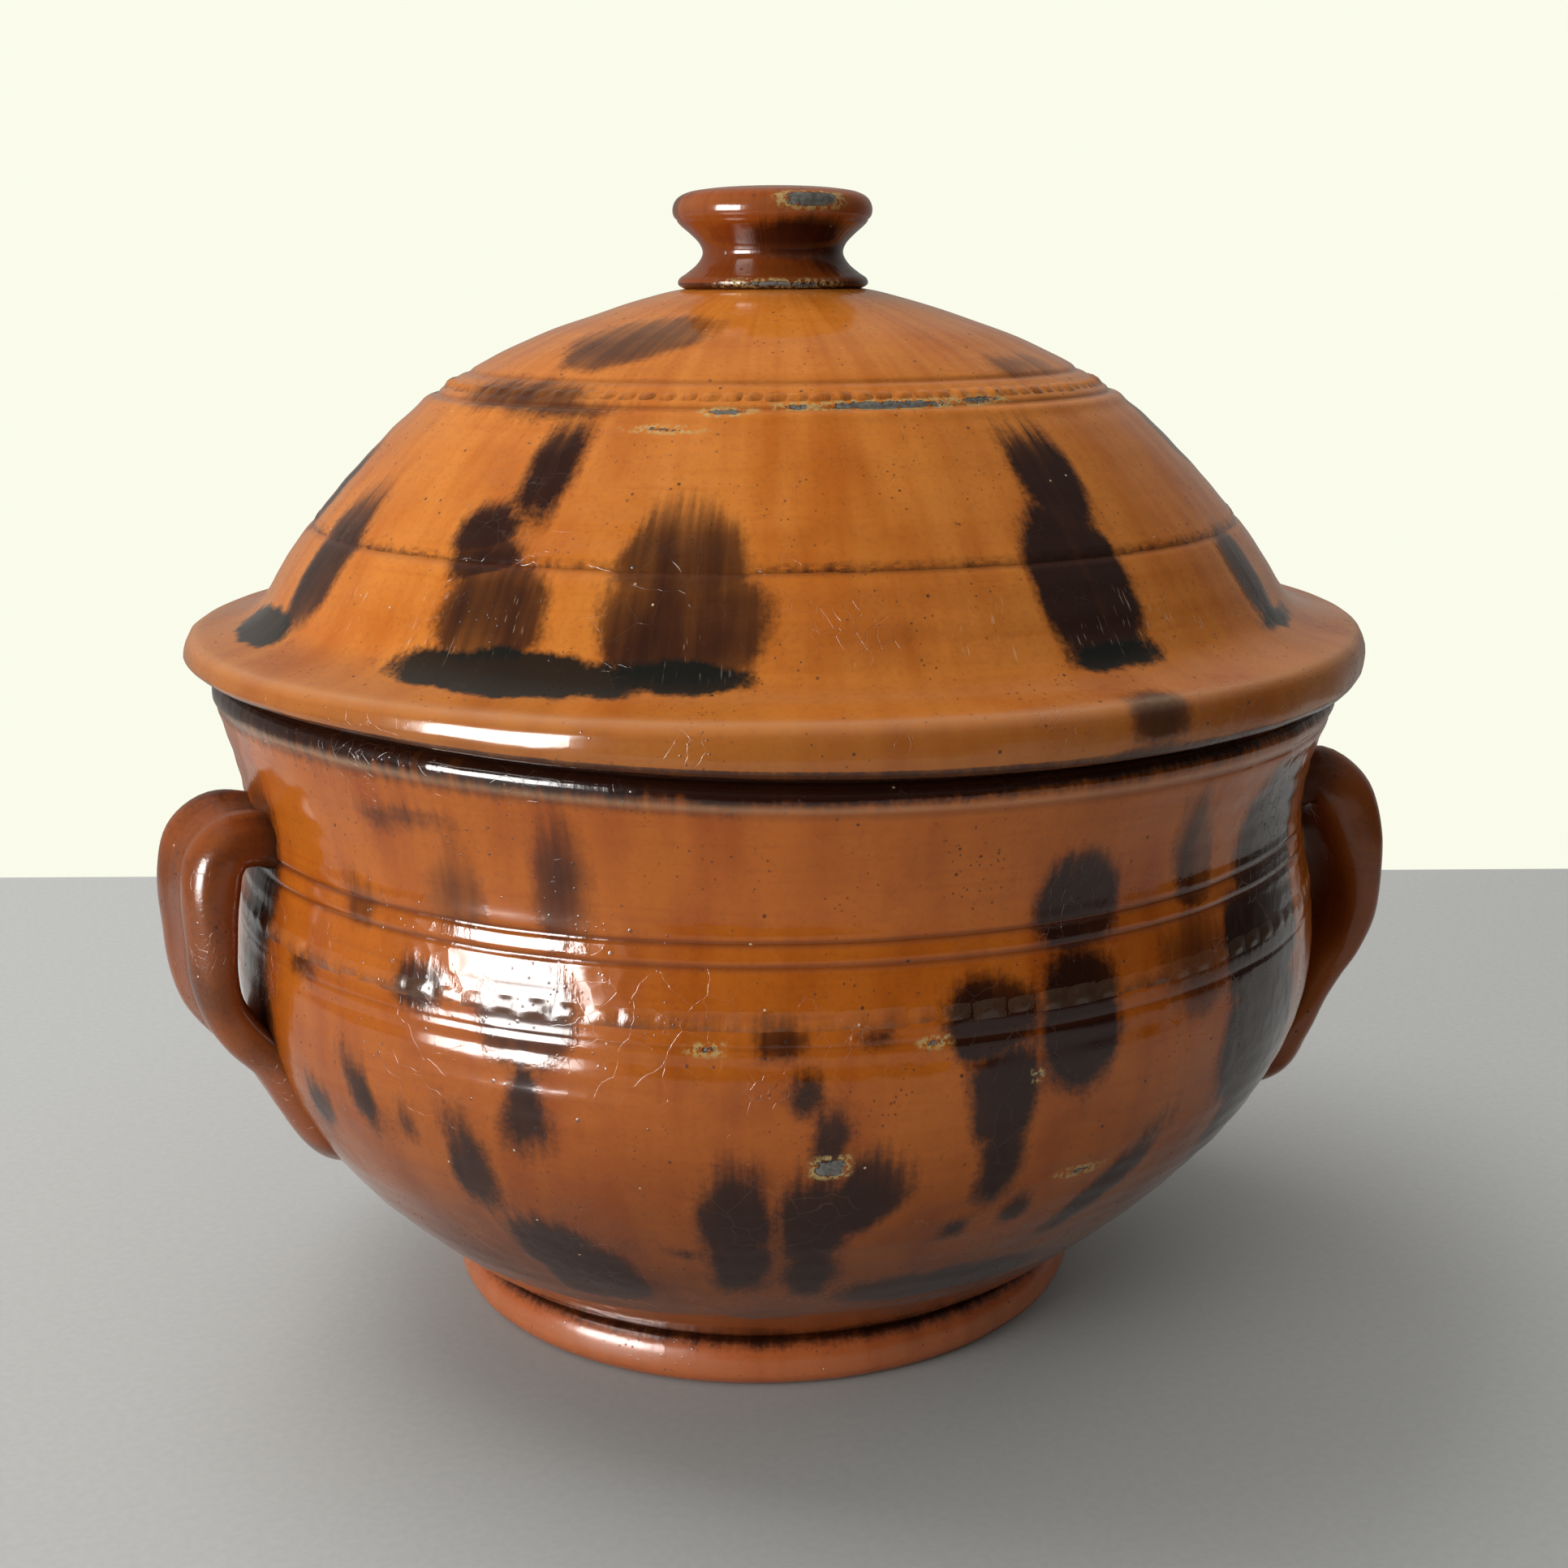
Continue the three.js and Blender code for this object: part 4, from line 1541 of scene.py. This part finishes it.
@dataclass(frozen=True)
class Dome:
    """The lid: a flange with a rolled edge, a cove and a dome, hollow beneath.

    Args:
        slot: Its finish in the solid model.
        seat: How high it lies on the rim.
        mouth_radius: How wide its hollow is at the mouth, which is straight up to mouth_top.
        ceiling: How high the hollow reaches.
        edge: Radius and height of the rolled edge, from the seat up.
        top: Radius and height of the flange and the dome, from the edge to the middle.
        rings: The grooves and ridges on the dome.
        wall: How thick the dome is.
        segments: How many faces go round.
    """

    slot: str = "lid_glaze"
    seat: float = 91.8
    mouth_radius: float = 66.4
    mouth_top: float = 94.0
    ceiling: float = 138.4
    edge: Sequence[Pair] = (
        (78.6, 91.8), (80.6, 91.9), (81.9, 92.7), (82.5, 94.2), (82.6, 95.8), (82.35, 97.3), (81.8, 98.3),
        (80.9, 98.8),
    )
    top: Sequence[Pair] = (
        (80.9, 98.8), (79.4, 99.1), (77.2, 99.6), (75.0, 100.3), (73.0, 101.4), (71.2, 103.4), (69.4, 106.3),
        (66.3, 110.8), (62.2, 115.8), (57.4, 121.0), (51.6, 126.6), (45.4, 131.1), (38.3, 135), (32.4, 137.6),
        (26, 139.8), (19.0, 142.0), (12.6, 143.5), (8.0, 143.6), (0.0, 143.6),
    )
    rings: Sequence[Ring] = (
        Ring(112.6, 0.20, 0.40), Ring(132.7, 0.22, 0.3), Ring(129.9, 0.26, 0.26), Ring(129.0, -0.26, 0.6),
    )
    wall: float = 5.2
    segments: int = 400

    def build(self, material: bpy.types.Material) -> Turned:
        """Turn the lid and brush it.

        Args:
            material: Its glaze.

        Returns:
            The lid, whose wall also carries beaded bands.
        """
        detail = [ring.height for ring in self.rings]
        outer = np.vstack([smooth_line(self.edge)[:-1], smooth_line(self.top)])
        side = respaced(outer, 0.85, detail)
        travel = np.gradient(side, axis=0)
        travel /= np.linalg.norm(travel, axis=1, keepdims=True)
        normal = np.column_stack([travel[:, 1], -travel[:, 0]])
        cut = sum(ring.cut(side[:, 1]) for ring in self.rings) * (side[:, 1] > 100.5)
        side = side - normal * cut[:, None]
        side[-1, 0] = 0.0
        body = outer[(outer[:, 0] < 70.5) & (outer[:, 1] > 100.0)]
        inner = moved_left(body, self.wall)[::-1]
        inner = inner[(inner[:, 0] < self.mouth_radius) & (inner[:, 0] > 1.0)]
        mouth = [(self.mouth_radius, self.mouth_top), (self.mouth_radius, self.seat)]
        inside = respaced(np.vstack([[(0.0, self.ceiling)], inner, mouth, [self.edge[0]]]), 2.2)
        inside[0, 0] = 0.0
        outline = np.vstack([side, inside[:-1]])
        outside = np.arange(len(outline)) < len(side)
        turned = Turned("lid_dome_glazed", outline, self.segments, LID_THROWING, outside, closed=True)
        run = turned.run[turned.owner]
        marks = LID_MARKS.paint(turned.object, turned.azimuth, run, turned.radius, turned.run_at,
                                turned.outside)
        marks[Mark.BARE] = np.where(turned.outside, 0.0, 1.0)
        roll = smoothstep(turned.radius, 81.2, 82.4) * turned.outside
        rib = np.exp(-((turned.height - 98.5) / 0.35) ** 2) * turned.outside
        marks[Mark.WEAR] = np.maximum(roll * 0.06, rib * 0.5)
        # Painted shade: the underside of the rolled edge, over the rim, is darkened with the manganese tone.
        under_edge = turned.outside & (turned.height < 93.6)
        shaded = np.maximum(marks[Mark.DAUB_AND_SHADE], 93.6 - turned.height)
        marks[Mark.DAUB_AND_SHADE] = np.where(under_edge, shaded, marks[Mark.DAUB_AND_SHADE])
        marks[Mark.TONE] = np.where(under_edge, 0.8, marks[Mark.TONE])
        # The flange's top and its rolled edge are also darkened towards the iron brown.
        flange = 1.0 - smoothstep(turned.height, 100.0, 102.5)
        brim = smoothstep(turned.height, 96.5, 98.6) * flange * turned.outside
        marks[Mark.WELL_AND_SHADE] = np.where(turned.height > 100.5, wells(self.rings, turned), 0.0) + brim * 0.32
        marks[Mark.WELL_AND_SHADE] = np.maximum(marks[Mark.WELL_AND_SHADE], roll * 0.42)
        write_marks(turned.object, marks)
        turned.object.data.materials.append(material)
        placed(turned.object, Body.LID, self.slot, "lid_dome")
        return turned


@dataclass(frozen=True)
class Collar:
    """The ring under the flange that keeps the lid from sliding off the rim.

    Args:
        slot: Its finish in the solid model.
        stations: Radius and height of its face, down the inside and up the outside.
        segments: How many faces go round.
    """

    slot: str = "lid_bare_clay"
    stations: Sequence[Pair] = (
        (66.9, 91.4), (66.9, 86.2), (67.6, 84.8), (68.9, 84.5), (70.2, 84.9), (70.7, 86.2), (71.3, 91.4),
    )
    segments: int = 256

    def build(self, material: bpy.types.Material) -> bpy.types.Object:
        """Turn the collar.

        Args:
            material: Its bare clay.

        Returns:
            The collar.
        """
        line = respaced(smooth_line(self.stations), 0.7)
        turned = Turned("lid_collar_clay", line, self.segments, LID_THROWING, closed=True)
        turn_outward(turned.object)
        write_marks(turned.object, {Mark.BARE: np.full(len(turned.height), 1.0)})
        turned.object.data.materials.append(material)
        return placed(turned.object, Body.LID, self.slot, "lid_collar")


@dataclass(frozen=True)
class Knob:
    """The knob: a rounded disc on a waisted stem, with a small ledge where it was stuck down.

    Args:
        slot: Its finish in the solid model.
        base: How high it sits.
        stations: Radius and height above its base, from the ledge to the middle of its top.
        rings: The line round its edge.
        segments: How many faces go round.
    """

    slot: str = "knob_glaze"
    base: float = 143.9
    stations: Sequence[Pair] = (
        (12.4, -0.35), (13.2, 0.2), (13.1, 0.9), (11.9, 1.8), (10.5, 3.0), (9.75, 4.4), (10.1, 5.6),
        (11.3, 6.9), (12.9, 8.3), (13.7, 9.4), (13.8, 10.5), (13.2, 11.7), (11.8, 12.5), (9.0, 13.0),
        (5.0, 13.3), (0.0, 13.4),
    )
    rings: Sequence[Ring] = (Ring(8.9, 0.16, 0.2),)
    segments: int = 160

    def build(self, material: bpy.types.Material) -> bpy.types.Object:
        """Turn the knob and brush it.

        Args:
            material: Its glaze.

        Returns:
            The knob.
        """
        line = respaced(smooth_line(self.stations), 0.3)
        line[:, 0] -= sum(ring.cut(line[:, 1]) for ring in self.rings) * (line[:, 0] > 11.5)
        line[-1, 0] = 0.0
        line[:, 1] += self.base
        outline = np.vstack([[(0.0, self.base - 0.3)], line])
        throwing = Throwing(oval=0.1, ripple=0.04, dimple=0.12, dimple_size=4.0, seed=14.0)
        turned = Turned("lid_knob_glazed", outline, self.segments, throwing)
        marks = Markings(
            strokes=(
                Stroke(-84, self.base + 6.6, 7.0, 3.2, 0.8, hair=0.0),
                Stroke(-40, self.base + 3.4, 7.0, 4.0, 0.55),
                Stroke(60, self.base + 6.0, 9.0, 4.0, 0.7),
                Stroke(160, self.base + 11.0, 5.0, 2.0, 0.5),
            ),
            chips=(Stroke(-84, self.base + 11.4, 3.6, 1.1, power=3), Stroke(-110, self.base + 0.3, 3.0, 0.35),
                   Stroke(-88, self.base + 0.2, 2.2, 0.3)),
            wander=0.5, wander_size=3.0, seed=21.0,
        ).paint(turned.object, turned.azimuth, turned.run[turned.owner], np.maximum(turned.radius, 1.0),
                turned.run_at, turned.outside)
        local = turned.height - self.base
        # Painted shade in the crease where the knob meets the lid, laid with the manganese tone.
        crease_shade = np.where(local < 0.5, 0.7, NOT_MARKED)
        marks[Mark.DAUB_AND_SHADE] = np.maximum(marks[Mark.DAUB_AND_SHADE], crease_shade)
        marks[Mark.TONE] = np.where(local < 0.5, 0.9, marks[Mark.TONE])
        marks[Mark.WEAR] = smoothstep(turned.radius, 13.0, 13.8) * 0.12
        # Painted shade: the stem and the underside of the disc are darkened towards the iron brown.
        marks[Mark.WELL_AND_SHADE] = (1.0 - smoothstep(local, 5.5, 9.5)) * 0.55
        write_marks(turned.object, marks)
        turned.object.data.materials.append(material)
        return placed(turned.object, Body.LID, self.slot, "lid_knob")


# ---------------------------------------------------------------------------------------------------------
# Table, light and camera
# ---------------------------------------------------------------------------------------------------------


@dataclass(frozen=True)
class Lamp:
    """A soft lamp.

    Args:
        name: Its name.
        azimuth: Its direction round the pot, in degrees from the right of the view.
        elevation: How high it stands, in degrees.
        distance: How far away it is.
        size: Its width and height.
        brightness: How bright its face is.
        diffuse: Whether it lights matt surfaces.
        glossy: Whether the glaze mirrors it.
    """

    name: str
    azimuth: float
    elevation: float
    distance: float
    size: Pair
    brightness: float
    diffuse: bool = True
    glossy: bool = True


@dataclass(frozen=True)
class Studio:
    """A pale table top, a pale room and one tall window.

    Args:
        heading: Which way the table and the room are turned, in degrees.
        table_back: How far the table reaches behind the pot, and table_front how far before it.
        table_half_width: Half its width, and table_thickness its thickness.
        table_colour: Its colour.
        backdrop: The colour of the wall that the camera sees.
        room_tint: The colour of the room's light, and lamp_tint of the lamps'.
        lamp_aim: How high above the table the lamps point.
        room: How bright the dim side of the room is.
        wall: How bright the back wall is, ceiling the ceiling, and window_side the side by the window.
        glossy_share: How much of that light the glaze mirrors.
        lamps: The soft lamps.
    """

    heading: float = -17.0
    table_back: float = 205.0
    table_front: float = 330.0
    table_half_width: float = 330.0
    table_thickness: float = 8.0
    table_colour: Colour = (0.44, 0.45, 0.45)
    backdrop: Colour = (0.96, 0.97, 0.83)
    room_tint: Colour = (1.0, 0.985, 0.93)
    lamp_tint: Colour = (1.0, 0.99, 0.965)
    lamp_aim: float = 60.0
    room: float = 0.06
    wall: float = 0.90
    ceiling: float = 0.55
    window_side: float = 0.60
    glossy_share: float = 0.30
    lamps: Sequence[Lamp] = (
        Lamp("window", -138.0, 10.0, 1200.0, (640.0, 700.0), 6.0, glossy=False),
        Lamp("window_glint", -141.5, 7.0, 1200.0, (600.0, 660.0), 38.0, diffuse=False),
        Lamp("sky", 150.0, 62.0, 1500.0, (1100.0, 1100.0), 4.0, glossy=False),
    )

    def direction(self, azimuth: float, elevation: float = 0.0) -> Vector:
        """Return a direction given by its azimuth before the heading is added, and its elevation."""
        a, e = math.radians(azimuth + self.heading), math.radians(elevation)
        return Vector((math.cos(a) * math.cos(e), math.sin(a) * math.cos(e), math.sin(e)))

    def build_table(self) -> bpy.types.Object:
        """Make the table top, turned to lie square to the camera.

        Returns:
            The table top.
        """
        back, side = self.direction(90.0), self.direction(0.0)
        across, front, rear = self.table_half_width, -self.table_front, self.table_back
        corners = [
            side * x + back * y + Vector((0.0, 0.0, z))
            for z in (-self.table_thickness, 0.0)
            for x, y in ((-across, front), (across, front), (across, rear), (-across, rear))
        ]
        faces = [(3, 2, 1, 0), (4, 5, 6, 7), (0, 1, 5, 4), (1, 2, 6, 5), (2, 3, 7, 6), (3, 0, 4, 7)]
        table = mesh_object("table_top", np.array(corners), faces)
        table.data.shade_flat()
        table.data.materials.append(Matte("pale table", self.table_colour).made())
        return table

    def build_room(self) -> None:
        """Light the room: a pale wall behind, a brighter side by the window, a dim side behind the camera."""
        world = bpy.data.worlds.new("pale room")
        bpy.context.scene.world = world
        g = Graph(world)
        towards = g.add("ShaderNodeTexCoord", output="Generated")

        def facing(direction: Vector, low: float, high: float) -> Wire:
            """Return how far a ray points along a direction."""
            both = {0: towards, 1: direction}
            return g.add("ShaderNodeVectorMath", {"operation": "DOT_PRODUCT"}, both, "Value").step(low, high)

        back = facing(self.direction(108.0), -0.15, 0.75) * (self.wall - self.room)
        above = facing(Vector((0.0, 0.0, 1.0)), 0.05, 0.85) * (self.ceiling - self.room)
        window = facing(self.direction(180.0), 0.1, 0.8) * (self.window_side - self.room)
        mirrored = g.add("ShaderNodeLightPath", output="Is Glossy Ray")
        level = (back.most(above).most(window) + self.room) * (1.0 - mirrored * (1.0 - self.glossy_share))
        grey = g.add("ShaderNodeCombineColor", {}, {0: level, 1: level, 2: level})
        lit = g.mix(1.0, self.room_tint, grey, "MULTIPLY")
        seen = g.add("ShaderNodeLightPath", output="Is Camera Ray")
        colour = g.mix(seen, lit, self.backdrop)
        g.add("ShaderNodeOutputWorld", {}, {"Surface": g.add("ShaderNodeBackground", {}, {"Color": colour})})

    def build_lamp(self, lamp: Lamp) -> None:
        """Hang one soft lamp that faces the pot.

        Args:
            lamp: Where it hangs and how bright it is.
        """
        light = bpy.data.lights.new(lamp.name, "AREA")
        light.shape = "RECTANGLE"
        light.size, light.size_y = (s * MM for s in lamp.size)
        light.energy = lamp.brightness * math.pi * light.size * light.size_y
        light.color = self.lamp_tint
        hung = bpy.data.objects.new(lamp.name, light)
        towards = self.direction(lamp.azimuth, lamp.elevation)
        hung.location = towards * lamp.distance * MM + Vector((0.0, 0.0, self.lamp_aim)) * MM
        hung.rotation_euler = towards.to_track_quat("Z", "Y").to_euler()
        hung.visible_diffuse, hung.visible_glossy = lamp.diffuse, lamp.glossy
        bpy.context.scene.collection.objects.link(hung)

    def build(self) -> None:
        """Make the whole room."""
        self.build_table()
        self.build_room()
        for lamp in self.lamps:
            self.build_lamp(lamp)
        bpy.context.scene.view_settings.view_transform = "Standard"


@dataclass(frozen=True)
class Viewpoint:
    """Where the camera stands and how it looks.

    Args:
        heading: Which way round the pot it stands, in degrees.
        distance: How far from the axis it is, and height how high.
        yaw: How far it looks to the right of the axis, pitch how far down, and roll how far it is tilted.
        lens: Its focal length, and sensor its film's width.
    """

    heading: float = -17.0
    distance: float = 302.1
    height: float = 145.5
    yaw: float = 0.23
    pitch: float = 13.59
    roll: float = -0.26
    lens: float = 48.45
    sensor: float = 36.0

    def build(self) -> bpy.types.Object:
        """Set up the camera.

        Returns:
            The camera.
        """
        data = bpy.data.cameras.new("camera")
        data.lens, data.sensor_width = self.lens, self.sensor
        data.clip_start, data.clip_end = 0.01, 20.0
        camera = bpy.data.objects.new("camera", data)
        yaw, pitch, roll = (math.radians(v) for v in (self.yaw, self.pitch, self.roll))
        forward = Vector((math.sin(yaw) * math.cos(pitch), math.cos(yaw) * math.cos(pitch), -math.sin(pitch)))
        right = Vector((math.cos(yaw), -math.sin(yaw), 0.0))
        up = right.cross(forward)
        right, up = right * math.cos(roll) + up * math.sin(roll), up * math.cos(roll) - right * math.sin(roll)
        turn = Matrix((right, up, -forward)).transposed().to_4x4()
        stand = Matrix.Translation(Vector((0.0, -self.distance, self.height)) * MM)
        camera.matrix_world = Matrix.Rotation(math.radians(self.heading), 4, "Z") @ stand @ turn
        bpy.context.scene.collection.objects.link(camera)
        bpy.context.scene.camera = camera
        return camera


# ---------------------------------------------------------------------------------------------------------
# Putting it together
# ---------------------------------------------------------------------------------------------------------


# The pot's glaze is darkened towards its bottom as painted shade.
POT_GLAZE = LeadGlaze("pot lead glaze", thin=(0.48, 0.124, 0.012), amber=(0.34, 0.068, 0.005), stain=0.4,
                      crackle=0.9, sag=0.95, low_shade_heights=(10.0, 66.0))
LID_GLAZE = LeadGlaze("lid lead glaze", thin=(0.60, 0.195, 0.028), amber=(0.46, 0.115, 0.008), stain=0.15,
                      scratch=0.5)
HANDLE_GLAZE = LeadGlaze("handle lead glaze", thin=(0.27, 0.066, 0.009), amber=(0.22, 0.044, 0.003),
                         stain=0.6, roughness=0.19, crackle=0.2)
KNOB_GLAZE = LeadGlaze("knob lead glaze", thin=(0.32, 0.072, 0.008), amber=(0.22, 0.040, 0.003), stain=0.45,
                       crackle=0.2, lump=0.05)
FOOT_GLAZE = LeadGlaze("foot thin glaze", thin=(0.50, 0.120, 0.028), amber=(0.40, 0.080, 0.012), stain=0.3,
                       roughness=0.24)
LID_CLAY = LeadGlaze("bare lid clay", stain=0.4, roughness=0.5)

STRAPS = (
    Strap("handle_right_strap", "handle_right", azimuth=-15.0, twist=-12.0, shoulder=0.7, line=(
        (72.6, 70.4), (75.6, 72.9), (78.6, 73.4), (81.2, 71.0), (83.2, 65.0), (84.2, 58.2), (84.0, 53.0),
        (82.8, 49.2), (80.8, 46.0), (78.9, 42.2), (77.2, 37.4), (75.4, 32.6), (72.8, 28.4), (69.4, 25.2),
    )),
    Strap("handle_left_strap", "handle_left", azimuth=188.5, twist=-5.0, line=(
        (72.8, 73.0), (76.6, 74.6), (80.4, 74.7), (82.8, 72.6), (83.8, 68.6), (84.1, 63.0), (84.1, 57.6),
        (83.1, 52.6), (80.6, 48.2), (77.0, 44.0), (74.0, 38.2), (71.2, 33.2), (68.0, 29.6), (65.0, 27.0),
    )),
)

POT_BANDS = (
    CoggledBand("pot_coggled_band", Body.POT, "pot_glaze", 63.5, 118, 2.4, 0.22, seed=4),
)
LID_BANDS = (
    CoggledBand("lid_coggled_band", Body.LID, "lid_glaze", 131.2, 108, 2.1, 0.36, wear=0.0, tone=0.5),
    CoggledBand("lid_scalloped_line", Body.LID, "lid_glaze", 113.2, 124, 1.3, 0.07, wear=0.0, tone=0.6,
                seed=6),
)


def main() -> None:
    """Build every part of the pot in order, then the table, the light and the camera."""
    logging.basicConfig(level=logging.INFO, format="%(message)s")
    noise.seed_set(NOISE_SEED)
    pot_glaze, lid_glaze = POT_GLAZE.made(), LID_GLAZE.made()
    handle_glaze, knob_glaze = HANDLE_GLAZE.made(), KNOB_GLAZE.made()
    foot_glaze, lid_clay = FOOT_GLAZE.made(), LID_CLAY.made()

    Foot().build(foot_glaze)
    bowl = Bowl().build(pot_glaze)
    for strap in STRAPS:
        strap.build(handle_glaze)
    dome = Dome().build(lid_glaze)
    Collar().build(lid_clay)
    Knob().build(knob_glaze)
    coggle = coggle_tree()
    for band in POT_BANDS:
        band.build(coggle, bowl, POT_MARKS, POT_THROWING, pot_glaze)
    for band in LID_BANDS:
        band.build(coggle, dome, LID_MARKS, LID_THROWING, lid_glaze)
    Studio().build()
    Viewpoint().build()


if __name__ == "__main__":
    main()
